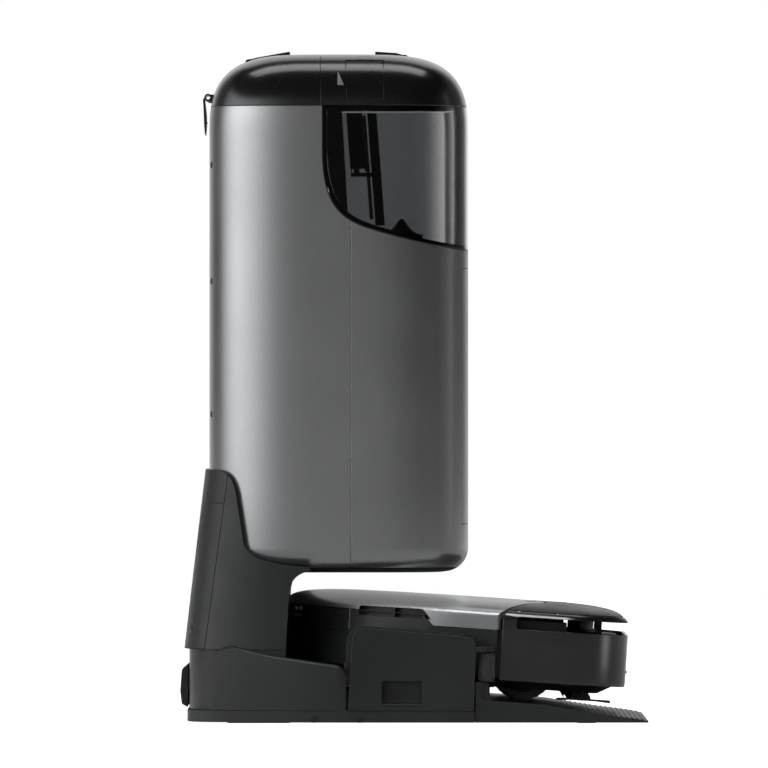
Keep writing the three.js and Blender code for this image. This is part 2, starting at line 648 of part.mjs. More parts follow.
const LATCH = { x0: -66.5, x1: -30, z0: 617, z1: 655 };
function latchZone(grow) {
  const { x0, x1, z0, z1 } = LATCH;
  return box(x0 - grow, x1 + grow, -FAR, -110, z0 - grow, z1 + 2 * grow);
}
const lidCore = (inset) => towerForm([LID_FOOT - 1, ...LID_HEIGHTS.slice(1)], inset, inset * 0.6);

function cleanLid() {
  const pocket = cut(latchZone(0.6), lidCore(4));
  const aboveRim = box(-FAR, FAR, -FAR, FAR, LID_FOOT, 656);
  const backing = cut(lidCore(4).intersect(latchZone(3.5)), lidCore(7)).intersect(aboveRim);
  return join(cut(lid("clean"), pocket), backing);
}
toDock("clean_tank_lid", cleanLid(), glossBlack);
toDock("lid_latch", cut(lidForm.intersect(latchZone(0)), lidCore(3.5)), glossBlack);
toDock("clean_tank_handle", handleSolid(HANDLES.clean), glossBlack);

// The rear latch hangs from a hollow knuckle between two ears of the dirty tank's lid.
const KNUCKLE = { x: -204.6, z: 621.4, r: 3.8, bore: 2 };
function dirtyLid() {
  const ears = [-1, 1].map((side) => {
    const y = side * 28.5;
    const ring = rod("y", [KNUCKLE.x, y, KNUCKLE.z], KNUCKLE.r, 5, 16);
    return join(ring, box(KNUCKLE.x, -194, y - 2.5, y + 2.5, KNUCKLE.z - 4.5, KNUCKLE.z + 3));
  });
  const bores = rod("y", [KNUCKLE.x, 0, KNUCKLE.z], KNUCKLE.bore, 80, 12);
  return cut(join(lid("dirty"), ...ears), bores);
}
toDock("dirty_tank_lid", dirtyLid(), glossBlack);
toDock("dirty_tank_handle", handleSolid(HANDLES.dirty), glossBlack);

function rearLatch() {
  const knuckle = rod("y", [KNUCKLE.x, 0, KNUCKLE.z], KNUCKLE.r, 51, 16);
  const inward = [[-208.3, 622.5], [-206.6, 609], [-205.9, 597], [-206.2, 588], [-206.6, 584]];
  const outward = [[-207.8, 588], [-208.6, 599], [-208.8, 609], [-209.6, 619]];
  const blade = prism([...inward, ...outward], -25.5, 25.5);
  return cut(join(knuckle, blade), rod("y", [KNUCKLE.x, 0, KNUCKLE.z], KNUCKLE.bore, 80, 12));
}
toDock("rear_latch", rearLatch(), glossBlack);

// ---- Dirty water tank ----
function dirtyTank() {
  const keep = (grow) => box(-FAR, -93 - grow, -FAR, FAR, DECK_Z + WALL + GAP + grow, 700);
  const skin = WALL + TANK_ROOM;
  const outer = towerForm([460, DOME_START, 598, TANK_TOP], skin).intersect(keep(0));
  const inner = towerForm([450, DOME_START, 598, TANK_TOP + 1], skin + WALL).intersect(keep(WALL));
  return cut(outer, inner);
}
toDock("dirty_tank", dirtyTank(), smoke);
const floatBall = rod("z", [-140, 60, 560], 15, 24, 20);
toDock("dirty_float", cut(floatBall, rod("z", [-140, 60, 545], 9, 10, 12)), paper);

// ---- Robot ----
const DECK = 68; // top of the front deck, below the bumper's slot
const REAR_EDGE = 79; // lower edge of the top shell at the back
const BIN_X = -108; // front of the rear bin module
const WHEEL = { x: 66, z: 33, r: 33, y: 129, width: 20 };
const WELL_TOP = 76; // roof of the wheel wells
const CASTER = { x: 121, z: 11.6, r: 11 };
const BRUSH = { x: -4, z: 17, r: 16.5, half: 92 };
const SIDE_BRUSH = { x: 126, y: -112, reach: 31 };
const LIDAR = { x: 124, r: 16.5 };

// Everything of the top shell lies above this side outline, which steps down past the vent.
function shellRegion(drop) {
  const edge = [[-FAR, REAR_EDGE], [-36, REAR_EDGE], [-25, DECK], [FAR, DECK]];
  return prism([...edge.map(([x, z]) => [x, z + drop]), [FAR, 200], [-FAR, 200]], -FAR, FAR);
}

// Air leaves the robot through a slot in each side, half in the shell and half in the chassis.
const VENTS = [-1, 1].map((s) => box(-99, -36, s * 172 - 38, s * 172 + 38, 74, 84));

function robotTopShell() {
  const outer = robotForm([60, 78, 86, 91, 94, 95.4, ROBOT_TOP]);
  const inner = robotForm([59, 78, 84, 89, 91.4, 92.6], WALL, 3);
  const buttonHole = box(66, 78.5, -16, 16, 80, 100);
  return cut(outer, inner, ...VENTS, buttonHole)
    .intersect(seamRegion(0, 50, 120, "rear"))
    .intersect(shellRegion(0.3));
}
toParked("robot_top_shell", robotTopShell(), graphite);

function noseCap() {
  const plate = cut(
    robotForm([50, 78, 86, 91, 94, 95.4, ROBOT_TOP]).intersect(seamRegion(2.4, 88.4, 120, "front")),
    robotForm([49, 78, 84, 89, 91.6, 93], WALL, 3).intersect(box(90, FAR, -FAR, FAR, 0, 93)),
  );
  const housing = box(63, 97, -96, 96, DECK + 0.4, 90).intersect(robotForm([60, 94], 14));
  const posts = [-1, 1].map((s) => box(137, 143, s * 60 - 4, s * 60 + 4, DECK + 0.4, 92.5));
  const dish = cut(rod("z", [LIDAR.x, 0, 87.4], 24, 12, 24), rod("z", [LIDAR.x, 0, 84], 21, 12, 24));
  const buttonRoom = box(60, 80, -18, 18, 86, 95);
  return join(plate, cut(housing, buttonRoom), ...posts, dish);
}
toParked("robot_nose_cap", noseCap(), satinBlack);

function bumper() {
  const ring = cut(robotForm([19, 23, 60, 78, 87.6]), robotForm([18, 23, 60, 78, 88.6], WALL));
  const slot = box(57, FAR, -FAR, FAR, 70.3, 82.6);
  const ahead = box(SEAM_SIDE_X + BUMPER_BACK, FAR, -FAR, FAR, 0, 120);
  return cut(ring.intersect(ahead), slot, seamRegion(BUMPER_BACK, 60, 120, "rear"));
}
toParked("robot_bumper", bumper(), satinBlack);

// The chassis pan's front half stands back from the bumper and slopes up under the nose.
const PAN_INSET = WALL + BUMPER_TRAVEL_GAP;
function frontPan(inset, low, high) {
  const levels = [[low, NOSE_CHAMFER.inset], [NOSE_CHAMFER.z + inset, 0], [high, 0]];
  return loft(levels.map(([z, d]) => ({ z, points: robotOutline(PAN_INSET + d + inset) })));
}

const between = (x0, x1, z1) => box(x0, x1, -FAR, FAR, 0, z1);
function chassis() {
  const rearPan = robotForm([ROBOT_BOTTOM, 13, 17, 23, REAR_EDGE]);
  const rear = rearPan.intersect(between(-FAR, SEAM_SIDE_X + 1, 120));
  const front = frontPan(0, ROBOT_BOTTOM, DECK).intersect(between(SEAM_SIDE_X, FAR, 120));
  const overShell = shellRegion(-0.3).intersect(between(-FAR, SEAM_SIDE_X + 2, 200));
  const rearRoom = robotForm([14, 17, 23, 90], WALL).intersect(between(BIN_X + WALL, SEAM_SIDE_X, 200));
  const noseRoom = frontPan(WALL, ROBOT_BOTTOM + WALL, DECK - WALL);
  const frontRoom = noseRoom.intersect(between(SEAM_SIDE_X - 1, FAR, 120));
  const binBay = between(-FAR, BIN_X, 120);
  const insideNose = robotForm([60, 80], PAN_INSET + WALL);
  const houses = [-1, 1].map((s) =>
    box(20, 107, s * 124 - 25, s * 124 + 25, DECK - 2 * WALL, WELL_TOP + WALL).intersect(insideNose),
  );
  const wells = [-1, 1].map((s) => box(23, 104, s * 124 - 22, s * 124 + 22, 0, WELL_TOP));
  const armSlots = [-1, 1].map((s) => box(-16, 30, s * 110 - 8, s * 110 + 8, 0, 54));
  const brushSlot = box(BRUSH.x - 20, BRUSH.x + 20, -BRUSH.half - 3, BRUSH.half + 3, 0, 36);
  const casterWell = rod("z", [CASTER.x, 0, 14], 24, 24, 24);
  const sideBrushSeat = rod("z", [SIDE_BRUSH.x, SIDE_BRUSH.y, 12], 8, 20, 16);
  const mopWell = box(BIN_X - 1, -62, -139, 139, 0, 24);
  const hull = cut(join(rear, front), overShell, rearRoom, frontRoom, binBay, ...VENTS);
  const openings = [...wells, ...armSlots, brushSlot, casterWell, sideBrushSeat, mopWell];
  const body = cut(join(hull, ...houses), ...openings);
  const wellRoof = box(BIN_X + 1, -60, -142, 142, 24.1, 27).intersect(robotForm([20, 30], WALL - 1));
  return join(body, wellRoof);
}
toParked("robot_chassis", chassis(), matteBlack);

// The bin module forms the robot's back; the dock empties it through its port.
function dustBin() {
  const front = BIN_X - GAP;
  const back = robotForm([ROBOT_BOTTOM + 13, 30, 60, REAR_EDGE - 0.6]);
  const outer = back.intersect(between(-FAR, front, 120));
  const inner = robotForm([ROBOT_BOTTOM + 16, 30, 90], WALL).intersect(between(-FAR, front - WALL, 120));
  return cut(outer, inner);
}
toParked("robot_dust_bin", dustBin(), matteBlack);

function lidarTurret() {
  return join(
    rod("z", [LIDAR.x, 0, 70], LIDAR.r, 3, 28),
    cut(rod("z", [LIDAR.x, 0, 77.5], LIDAR.r - 2, 15, 28), box(LIDAR.x + 8, LIDAR.x + 30, -9, 9, 73, 82)),
  );
}
toParked("lidar_turret", lidarTurret(), glossBlack);

for (const [label, side] of [["right", -1], ["left", 1]]) {
  const y = side * WHEEL.y;
  const inY = side * (WHEEL.y - WHEEL.width / 2 - 8);
  const arm = join(
    rod("y", [-2, inY, 40], 9, 12, 16),
    prism([[-4, 33], [66, 22], [76, 30], [70, 44], [-2, 49]].reverse(), inY - 6, inY + 6),
  );
  toParked(`wheel_arm_${label}`, arm, satinBlack);
  const hub = join(
    rod("y", [WHEEL.x, y, WHEEL.z], 24.5, WHEEL.width - 2, 28),
    rod("y", [WHEEL.x, y + side * 5, WHEEL.z], 8, WHEEL.width, 16),
  );
  toParked(`drive_hub_${label}`, hub, matteBlack);
  const tread = rod("y", [WHEEL.x, y, WHEEL.z], WHEEL.r, WHEEL.width, 40);
  const rim = rod("y", [WHEEL.x, y, WHEEL.z], 25, WHEEL.width + 4, 28);
  toParked(`drive_tyre_${label}`, cut(tread, rim), rubber);
}

// A tapering skirt holds the caster wheel on its pin.
const CASTER_PIN = 2;
function casterFork() {
  const skirt = turned([[0, 2.2], [11, 2.2], [17, 12], [17, 26], [0, 26]], [CASTER.x, 0, 0], 24);
  const plate = rod("z", [CASTER.x, 0, 28.5], 20, 5, 24);
  const stem = rod("z", [CASTER.x, 0, 35], 5, 12, 12);
  const room = box(CASTER.x - 10.5, CASTER.x + 14.5, -7.8, 7.8, 0, 23.6);
  const pin = rod("y", [CASTER.x + 2, 0, CASTER.z], CASTER_PIN, 20, 12);
  return join(cut(join(skirt, plate, stem), room), pin);
}
toParked("caster_fork", casterFork(), satinBlack);

const casterTread = rod("y", [CASTER.x + 2, 0, CASTER.z], CASTER.r, 14, 24);
const casterBore = rod("y", [CASTER.x + 2, 0, CASTER.z], CASTER_PIN + GAP, 20, 12);
toParked("caster_wheel", cut(casterTread, casterBore), rubber);

// The main brush: a core with four raised blades along it.
function mainBrush() {
  const core = rod("y", [BRUSH.x, 0, BRUSH.z], 9.5, 2 * BRUSH.half, 20);
  const blades = Array.from({ length: 6 }, (_, i) => {
    const blade = new THREE.BoxGeometry(8, 2 * BRUSH.half - 12, 3);
    blade.translate(BRUSH.r - 4.4, 0, 0).rotateY((i * Math.PI) / 3 + 0.2);
    return solid(blade.translate(BRUSH.x, 0, BRUSH.z));
  });
  return join(core, ...blades);
}
toParked("main_brush", mainBrush(), rubber);

function sideBrush() {
  const { x, y, reach: armReach } = SIDE_BRUSH;
  const hub = join(rod("z", [x, y, 7], 10, 8, 18, 7), rod("z", [x, y, 15], 4, 12, 12));
  const arms = Array.from({ length: 3 }, (_, i) => {
    const arm = new THREE.BoxGeometry(armReach - 3, 5, 1.6);
    arm.translate(3 + (armReach - 3) / 2, 0, 0).rotateZ((i * 2 * Math.PI) / 3 - 0.35);
    return solid(arm.translate(x, y, 3.6));
  });
  return join(hub, ...arms);
}
toParked("side_brush", sideBrush(), rubber);

// The mop follows the robot's round back up to a straight front edge.
const MOP = { x1: -66, y: 114 };
function mopPlan(inset) {
  const front = MOP.x1 - inset;
  const back = robotOutline(16 + inset).filter(([x]) => x < front);
  return [...back, [front, -MOP.y + inset], [front, MOP.y - inset]];
}
toParked("mop_plate", slab(mopPlan(2), 5.6, 10), satinBlack);
toParked("mop_pad", slab(mopPlan(0), 0.4, 5.2), fabric);

toParked("robot_battery", box(-60, -28, -80, 80, 40, 64), satinBlack);
const fanDuct = box(-100, -68, -20, 20, 36, 60);
toParked("robot_fan", join(rod("z", [-84, 30, 50], 17, 36, 20), fanDuct), matteBlack);
toParked("robot_button", box(66.6, 77.9, -15.4, 15.4, 88, 96.6), glossBlack);

export default robotVacuum;
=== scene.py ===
# %% [markdown]
# # A robot vacuum parked on its washing dock
# The dock is a tall cabinet on a rear column: two water tanks on top, a dust bag and pumps inside, and a low
# garage with a ramp where a D-shaped robot parks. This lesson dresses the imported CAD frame: big smooth shells
# are rebuilt finely from the rules that shaped them, small parts are copied from the frame and given soft
# edges, and what repeats (ribs, screws, bristles, tread, pile) grows in Geometry Nodes.

# %% Load the fixed frame
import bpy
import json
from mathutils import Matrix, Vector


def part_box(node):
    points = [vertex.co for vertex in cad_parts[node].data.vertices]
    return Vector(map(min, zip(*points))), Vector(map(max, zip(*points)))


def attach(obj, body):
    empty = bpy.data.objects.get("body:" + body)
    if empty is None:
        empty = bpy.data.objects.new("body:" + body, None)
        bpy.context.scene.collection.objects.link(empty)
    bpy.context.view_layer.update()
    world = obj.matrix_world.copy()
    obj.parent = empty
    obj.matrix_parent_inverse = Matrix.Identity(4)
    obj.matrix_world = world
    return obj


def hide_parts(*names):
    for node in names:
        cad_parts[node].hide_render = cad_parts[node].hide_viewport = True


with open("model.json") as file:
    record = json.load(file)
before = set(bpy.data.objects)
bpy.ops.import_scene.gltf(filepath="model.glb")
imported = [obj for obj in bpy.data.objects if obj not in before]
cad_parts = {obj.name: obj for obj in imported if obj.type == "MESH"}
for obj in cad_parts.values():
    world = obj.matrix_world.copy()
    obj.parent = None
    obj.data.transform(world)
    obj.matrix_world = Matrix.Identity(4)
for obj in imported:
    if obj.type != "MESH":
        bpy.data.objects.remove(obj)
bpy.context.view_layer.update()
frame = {"nodes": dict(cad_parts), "record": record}

import json
import math
import random

import bmesh
import bpy
from mathutils import Matrix, Vector

scene = bpy.context.scene
MM = 0.001

# %% [markdown]
# ## Camera, light and floor
# A long lens far away keeps the tall cabinet's sides parallel: the camera stands 14 m off, level with the
# middle of the dock. Metallic paint shows little but its surroundings, so most of the light comes from walls
# whose brightness changes with the compass; a broad white one draws the band that fades across the side.
# Four small lamps add to them: one overhead for the lids, one for the robot's top, one for its nose and one
# in the garage. The floor's glow changes with the angle that it is seen at, and the light is set for the
# camera's own side, so other sides look dimmer.

# %% Camera
CAMERA_DISTANCE = 14.0
CAMERA_AT = Vector((-0.029, -CAMERA_DISTANCE, 0.3355))
SENSOR = 36
VIEW_WIDTH = 0.768  # metres across the view, at the dock
camera_data = bpy.data.cameras.new("camera")
camera_data.sensor_width = SENSOR
camera_data.lens = SENSOR * CAMERA_DISTANCE / VIEW_WIDTH
camera_data.clip_end = 60
camera = bpy.data.objects.new("camera", camera_data)
camera.location = CAMERA_AT
camera.rotation_euler = (math.pi / 2, 0, 0)
scene.collection.objects.link(camera)
scene.camera = camera
scene.view_settings.view_transform = "Standard"


# %% Lamps
def lamp(name, place, size, power, target=(-0.03, 0, 0.3), spread=180):
    """A rectangular soft lamp aimed at a point."""
    data = bpy.data.lights.new(name, "AREA")
    data.shape = "RECTANGLE"
    data.size, data.size_y = size
    data.energy = power
    data.spread = math.radians(spread)
    light = bpy.data.objects.new(name, data)
    light.location = place
    light.rotation_euler = (Vector(target) - Vector(place)).to_track_quat("-Z", "Y").to_euler()
    light.visible_camera = False
    scene.collection.objects.link(light)


lamp("overhead", (-0.1, 0.72, 3.0), (2.4, 1.04), 26)
lamp("robot_sheen", (0.02, -0.465, 0.63), (0.6, 0.3), 0.3, target=(0.02, -0.165, 0.11), spread=26)
lamp("nose_glint", (0.46, -0.16, 0.05), (0.18, 0.07), 0.003, target=(0.19, -0.12, 0.055), spread=24)
lamp("garage", (-0.025, 0, 0.1465), (0.16, 0.34), 0.085, target=(-0.025, 0.001, 0.0))


# %% Surroundings and floor
# The brightness met by a level look outwards, as (degrees from the camera's side, towards the tower's back
# first, then on round): a broad white wall to the left, dark felt to the right, white behind.
WALLS = [
    (0, 0.12), (8, 0.5), (23, 1.9), (41, 3.2), (68, 3.7), (86, 3.3), (106, 1.9), (129, 0.1), (152, 0.08),
    (166, 0.6), (180, 0.9), (194, 0.6), (206, 0.1), (240, 0.12), (254, 0.5), (266, 0.22), (295, 0.02),
    (335, 0.0), (360, 0.12),
]
WALL_PEAK = 4.0
WALL_TOP = (0.38, 0.58)  # the walls fade out between these heights of a look, as its |Z|
CEILING = 0.02
BACKDROP = 0.9
SHEET_SIDE = (0.2, 0.32)  # the white sheet behind fades out between these, as a look's |X|
SHEET_AHEAD = (0.72, 0.8)  # and starts between these, as its Y
FLOOR_REACH = 8.0
FLOOR_GLOW = (0.955, 0.970)  # facing at which the floor's glow starts and is full


def build_world():
    """Walls that change with the compass and stop at a dark ceiling; the camera itself sees plain white."""
    world = bpy.data.worlds.new("studio")
    world.use_nodes = True
    nodes, links = world.node_tree.nodes, world.node_tree.links
    nodes.clear()

    def math_node(operation, first, second=None):
        made = nodes.new("ShaderNodeMath")
        made.operation = operation
        for socket, value in zip(made.inputs, (first, second)):
            if isinstance(value, (int, float)):
                socket.default_value = value
            elif value is not None:
                links.new(value, socket)
        return made.outputs["Value"]

    direction = nodes.new("ShaderNodeTexCoord")
    split = nodes.new("ShaderNodeSeparateXYZ")
    links.new(direction.outputs["Generated"], split.inputs["Vector"])
    compass = math_node("ARCTAN2", split.outputs["X"], split.outputs["Y"])
    turn = math_node("ADD", math_node("DIVIDE", compass, math.tau), 0.5)
    ramp = nodes.new("ShaderNodeValToRGB")
    stops = ramp.color_ramp.elements
    stops.remove(stops[1])
    for i, (degrees, level) in enumerate(WALLS):
        stop = stops[0] if i == 0 else stops.new(degrees / 360)
        stop.position = degrees / 360
        stop.color = (level / WALL_PEAK, level / WALL_PEAK, level / WALL_PEAK, 1)
    links.new(turn, ramp.inputs["Fac"])

    def fade(value, start, end, low, high):
        made = nodes.new("ShaderNodeMapRange")
        made.interpolation_type = "SMOOTHSTEP"
        for label, number in (("From Min", start), ("From Max", end), ("To Min", low), ("To Max", high)):
            made.inputs[label].default_value = number
        links.new(value, made.inputs["Value"])
        return made.outputs["Result"]

    height = math_node("ABSOLUTE", split.outputs["Z"])
    aside = math_node("ABSOLUTE", split.outputs["X"])
    walls = math_node("MULTIPLY", ramp.outputs["Color"], fade(height, *WALL_TOP, WALL_PEAK, 0.0))
    wide = fade(aside, *SHEET_SIDE, BACKDROP, 0.0)
    sheet = math_node("MULTIPLY", wide, fade(split.outputs["Y"], *SHEET_AHEAD, 0, 1))
    level = math_node("ADD", math_node("MAXIMUM", walls, sheet), CEILING)
    studio = nodes.new("ShaderNodeBackground")
    links.new(level, studio.inputs["Strength"])
    white = nodes.new("ShaderNodeBackground")
    white.inputs["Strength"].default_value = 1.0
    white.inputs["Color"].default_value = (1, 1, 1, 1)
    path = nodes.new("ShaderNodeLightPath")
    mix = nodes.new("ShaderNodeMixShader")
    out = nodes.new("ShaderNodeOutputWorld")
    studio.inputs["Color"].default_value = (1, 1, 1, 1)
    links.new(path.outputs["Is Camera Ray"], mix.inputs["Fac"])
    links.new(studio.outputs["Background"], mix.inputs[1])
    links.new(white.outputs["Background"], mix.inputs[2])
    links.new(mix.outputs["Shader"], out.inputs["Surface"])
    scene.world = world


def build_floor():
    """A pale floor that glows when it is seen along its length, so that it runs into the backdrop."""
    mesh = bpy.data.meshes.new("floor")
    s = FLOOR_REACH
    mesh.from_pydata([(-s, -s, 0), (s, -s, 0), (s, s, 0), (-s, s, 0)], [], [(0, 1, 2, 3)])
    floor = bpy.data.objects.new("floor", mesh)
    scene.collection.objects.link(floor)
    material = bpy.data.materials.new("floor_white")
    material.use_nodes = True
    tree = material.node_tree
    shader = tree.nodes["Principled BSDF"]
    shader.inputs["Base Color"].default_value = (0.8, 0.8, 0.8, 1)
    shader.inputs["Roughness"].default_value = 0.9
    shader.inputs["Specular IOR Level"].default_value = 0.1
    shader.inputs["Emission Color"].default_value = (1, 1, 1, 1)
    grazing = tree.nodes.new("ShaderNodeLayerWeight")
    grazing.inputs["Blend"].default_value = 0.5
    glow = tree.nodes.new("ShaderNodeMapRange")
    glow.inputs["From Min"].default_value, glow.inputs["From Max"].default_value = FLOOR_GLOW
    glow.inputs["To Min"].default_value = 0.1
    tree.links.new(grazing.outputs["Facing"], glow.inputs["Value"])
    tree.links.new(glow.outputs["Result"], shader.inputs["Emission Strength"])
    mesh.materials.append(material)


build_world()
build_floor()

# %% [markdown]
# ## Driving sizes
# Lengths in this script are millimetres until a mesh is made. The numbers are the dock's own: the tower is a
# rounded box that follows a superellipse in plan and rolls in at the top, the robot is a D 344 mm wide, and
# the robot's frame is tipped nose down on the sloping garage floor.

# %% Sizes and rules
FAR = 600
PLAN_POINTS = 176
TOWER = {"x": -74, "a": 129, "b": 172, "power": 4.6, "bottom": 149, "fillet": 24, "top": 663}
DOME_START = 582
DOME_INSET = 95
SHELL_FOOT = 154
SHELL_TOP = 610.6
LID_FOOT = 611.2
SEAM_X = -62
LID_SPLIT_X = -92
WINDOW_BACK_X = -90.2
GAP = 0.4
WALL = 3
SIDES = (("right", -1), ("left", 1))

PITCH = math.radians(3.8)
PARKED = Matrix.Translation((0.040, 0, 0.027)) @ Matrix.Rotation(PITCH, 4, "Y")
ROBOT = {"r": 172, "front": 169, "corner": 64, "top": 96, "dome": 78, "inset": 90, "bottom": 11}
SEAM_SIDE_X = 38
SEAM_BOW = 47


def dome_inset(z, start, top, inset):
    t = min(max((z - start) / (top - start), 0.0), 1.0)
    return inset * (1 - (1 - t**3) ** (1 / 3))


def dome_heights(start, top, low, high, steps):
    """Heights spaced evenly along a dome's curve, between low and high."""
    made = [start + (top - start) * math.sin(math.pi / 2 * i / steps) ** (2 / 3) for i in range(steps + 1)]
    return [low] + [z for z in made if low + 0.2 < z < high - 0.05] + [high]


def fillet_inset(z, bottom, radius):
    t = min(max((bottom + radius - z) / radius, 0.0), 1.0)
    return radius * (1 - math.sqrt(1 - t * t))


def tower_inset(z):
    rolled = dome_inset(z, DOME_START, TOWER["top"], DOME_INSET)
    return fillet_inset(z, TOWER["bottom"], TOWER["fillet"]) + rolled


def superellipse(a, b, count=PLAN_POINTS):
    power = 2 / TOWER["power"]
    points = []
    for i in range(count):
        angle = math.tau * (i + 0.5) / count
        c, s = math.cos(angle), math.sin(angle)
        x = TOWER["x"] + math.copysign(a * abs(c) ** power, c)
        points.append((x, math.copysign(b * abs(s) ** power, s)))
    return points


def bezier(*controls, steps=16):
    """Points along a curve with any number of control points."""
    made = []
    for i in range(steps + 1):
        t = i / steps
        row = [Vector(p) for p in controls]
        while len(row) > 1:
            row = [a.lerp(b, t) for a, b in zip(row, row[1:])]
        made.append(tuple(row[0]))
    return made


# %% [markdown]
# ## Solids and cuts
# Every big shell is a stack of outlines joined into one closed skin, then trimmed by plain blocks with
# Blender's fast Boolean. Working with closed solids keeps the walls real: a shell is its outer form less the
# same form drawn in by the wall's thickness.


# %% Solid makers
def mesh_of(points, faces):
    mesh = bpy.data.meshes.new("shape")
    mesh.from_pydata([tuple(c * MM for c in p) for p in points], [], faces)
    mesh.update()
    return mesh


def loft(layers):
    """A closed skin over stacked outlines, given as (height, points), lowest first."""
    count = len(layers[0][1])
    points = [(x, y, z) for z, outline in layers for x, y in outline]
    faces = [tuple(reversed(range(count)))]
    for layer in range(len(layers) - 1):
        base = layer * count
        for i in range(count):
            j = (i + 1) % count
            faces.append((base + i, base + j, base + j + count, base + i + count))
    top = (len(layers) - 1) * count
    faces.append(tuple(range(top, top + count)))
    return mesh_of(points, faces)


def area_of(outline):
    return sum(a[0] * b[1] - b[0] * a[1] for a, b in zip(outline, outline[1:] + outline[:1])) / 2


def slab(outline, z0, z1):
    """A plan outline raised from z0 to z1."""
    ring = list(outline) if area_of(outline) > 0 else list(reversed(outline))
    return loft([(z0, ring), (z1, ring)])


def prism(outline, y0, y1):
    """A side outline of (x, z) points carried across from y0 to y1."""
    ring = list(outline) if area_of(outline) < 0 else list(reversed(outline))
    count = len(ring)
    points = [(x, y, z) for y in (y0, y1) for x, z in ring]
    faces = [tuple(reversed(range(count))), tuple(range(count, 2 * count))]
    for i in range(count):
        j = (i + 1) % count
        faces.append((i, j, j + count, i + count))
    return mesh_of(points, faces)


def box(x0, x1, y0, y1, z0, z1):
    return slab([(x0, y0), (x1, y0), (x1, y1), (x0, y1)], z0, z1)


def ring_points(radius, count):
    turn = math.tau / count
    return [(radius * math.cos(turn * i), radius * math.sin(turn * i)) for i in range(count)]


def lathe(axis, centre, profile, count=64):
    """A turned solid: profile is (radius, distance along the axis) from one end to the other."""
    mesh = loft([(along, ring_points(max(radius, 0.02), count)) for radius, along in profile])
    if axis == "x":
        mesh.transform(Matrix.Rotation(math.pi / 2, 4, "Y"))
    if axis == "y":
        mesh.transform(Matrix.Rotation(-math.pi / 2, 4, "X"))
    mesh.transform(Matrix.Translation([c * MM for c in centre]))
    return mesh


def rod(axis, centre, radius, length, count=48, soft=0.0):
    """A cylinder, with its rims rounded by soft millimetres."""
    half = length / 2
    if not soft:
        return lathe(axis, centre, [(radius, -half), (radius, half)], count)
    arc = [(radius - soft + soft * math.sin(a), half - soft + soft * math.cos(a)) for a in
           (math.pi / 2 * (1 - i / 5) for i in range(6))]
    return lathe(axis, centre, [(r, -z) for r, z in reversed(arc)] + arc, count)


# %% Cutting and joining
def show(mesh, name="helper"):
    obj = bpy.data.objects.new(name, mesh)
    scene.collection.objects.link(obj)
    return obj


def baked(obj):
    """The object's mesh with its modifiers applied."""
    graph = bpy.context.evaluated_depsgraph_get()
    return bpy.data.meshes.new_from_object(obj.evaluated_get(graph))


def boolean(operation, base, tools):
    host = show(base)
    helpers = [show(tool) for tool in tools]
    for helper in helpers:
        step = host.modifiers.new("step", "BOOLEAN")
        step.operation = operation
        step.solver = "MANIFOLD"
        step.object = helper
    made = baked(host)
    for obj in [host, *helpers]:
        bpy.data.objects.remove(obj)
    return made


def cut(base, *tools):
    return boolean("DIFFERENCE", base, tools)


def join(base, *tools):
    return boolean("UNION", base, tools)


def common(base, *tools):
    return boolean("INTERSECT", base, tools)


def tower_form(heights, inset=0.0, drop=0.0):
    layers = []
    for z in heights:
        d = tower_inset(z + drop) + inset
        layers.append((z, superellipse(TOWER["a"] - d, TOWER["b"] - d)))
    return loft(layers)


def window_region(dx, dz, y0, y1):
    """Everything above the slanting lower edge of the tank's window."""
    back = WINDOW_BACK_X + dx
    low = bezier((back, 566 + dz), (back, 500 + dz), (-62 + dx, 494 + dz), (-26 + dx, 483.6 + dz), steps=28)
    front = bezier((-26 + dx, 483.6 + dz), (15, 472 + dz), (60, 467.2 + dz), steps=14)
    return prism([(back, 640)] + low + front[1:] + [(60, 640)], y0, y1)


print("solid makers ready")

# %% [markdown]
# ## Finishes
# The dock has few finishes, and each one is a rule of its own:
# graphite metallic paint (fine flakes under a thin clear coat), spark-eroded satin black plastic, piano
# black lids, smoked clear tanks, matte inner mouldings, rubber, felt and card. Each is built from noise at
# its real scale in object space, so the grain doesn't stretch. Edges are eased twice: a small real bevel,
# and in the shader a bevelled normal that also finds the edges. There the moulded plastics are rubbed a
# little brighter, and the paint and the piano black carry a painted highlight: their colour turns lighter.


# %% Finish helpers
def node(tree, kind, **settings):
    made = tree.nodes.new(kind)
    for key, value in settings.items():
        setattr(made, key, value)
    return made


def new_finish(name):
    """A material with one Principled shader; returns the material, its tree and that shader."""
    material = bpy.data.materials.new(name)
    material.use_nodes = True
    return material, material.node_tree, material.node_tree.nodes["Principled BSDF"]


def object_noise(tree, scale, detail=2.0, roughness=0.5, stretch=None):
    """Noise in object space; scale is in cycles per metre."""
    place = node(tree, "ShaderNodeTexCoord")
    noise = node(tree, "ShaderNodeTexNoise")
    noise.inputs["Scale"].default_value = scale
    noise.inputs["Detail"].default_value = detail
    noise.inputs["Roughness"].default_value = roughness
    source = place.outputs["Object"]
    if stretch:
        mapping = node(tree, "ShaderNodeMapping")
        mapping.inputs["Scale"].default_value = stretch
        tree.links.new(source, mapping.inputs["Vector"])
        source = mapping.outputs["Vector"]
    tree.links.new(source, noise.inputs["Vector"])
    return noise.outputs["Fac"]


def ranged(tree, value, low, high, from_low=0.3, from_high=0.7):
    made = node(tree, "ShaderNodeMapRange")
    made.inputs["From Min"].default_value = from_low
    made.inputs["From Max"].default_value = from_high
    made.inputs["To Min"].default_value = low
    made.inputs["To Max"].default_value = high
    tree.links.new(value, made.inputs["Value"])
    return made.outputs["Result"]


def blended(tree, factor, first, second):
    """A mix of two colours by a factor socket."""
    mix = node(tree, "ShaderNodeMix", data_type="RGBA")
    tree.links.new(factor, mix.inputs["Factor"])
    for socket, colour in ((mix.inputs["A"], first), (mix.inputs["B"], second)):
        if isinstance(colour, tuple):
            socket.default_value = (*colour, 1)
        else:
            tree.links.new(colour, socket)
    return mix.outputs["Result"]


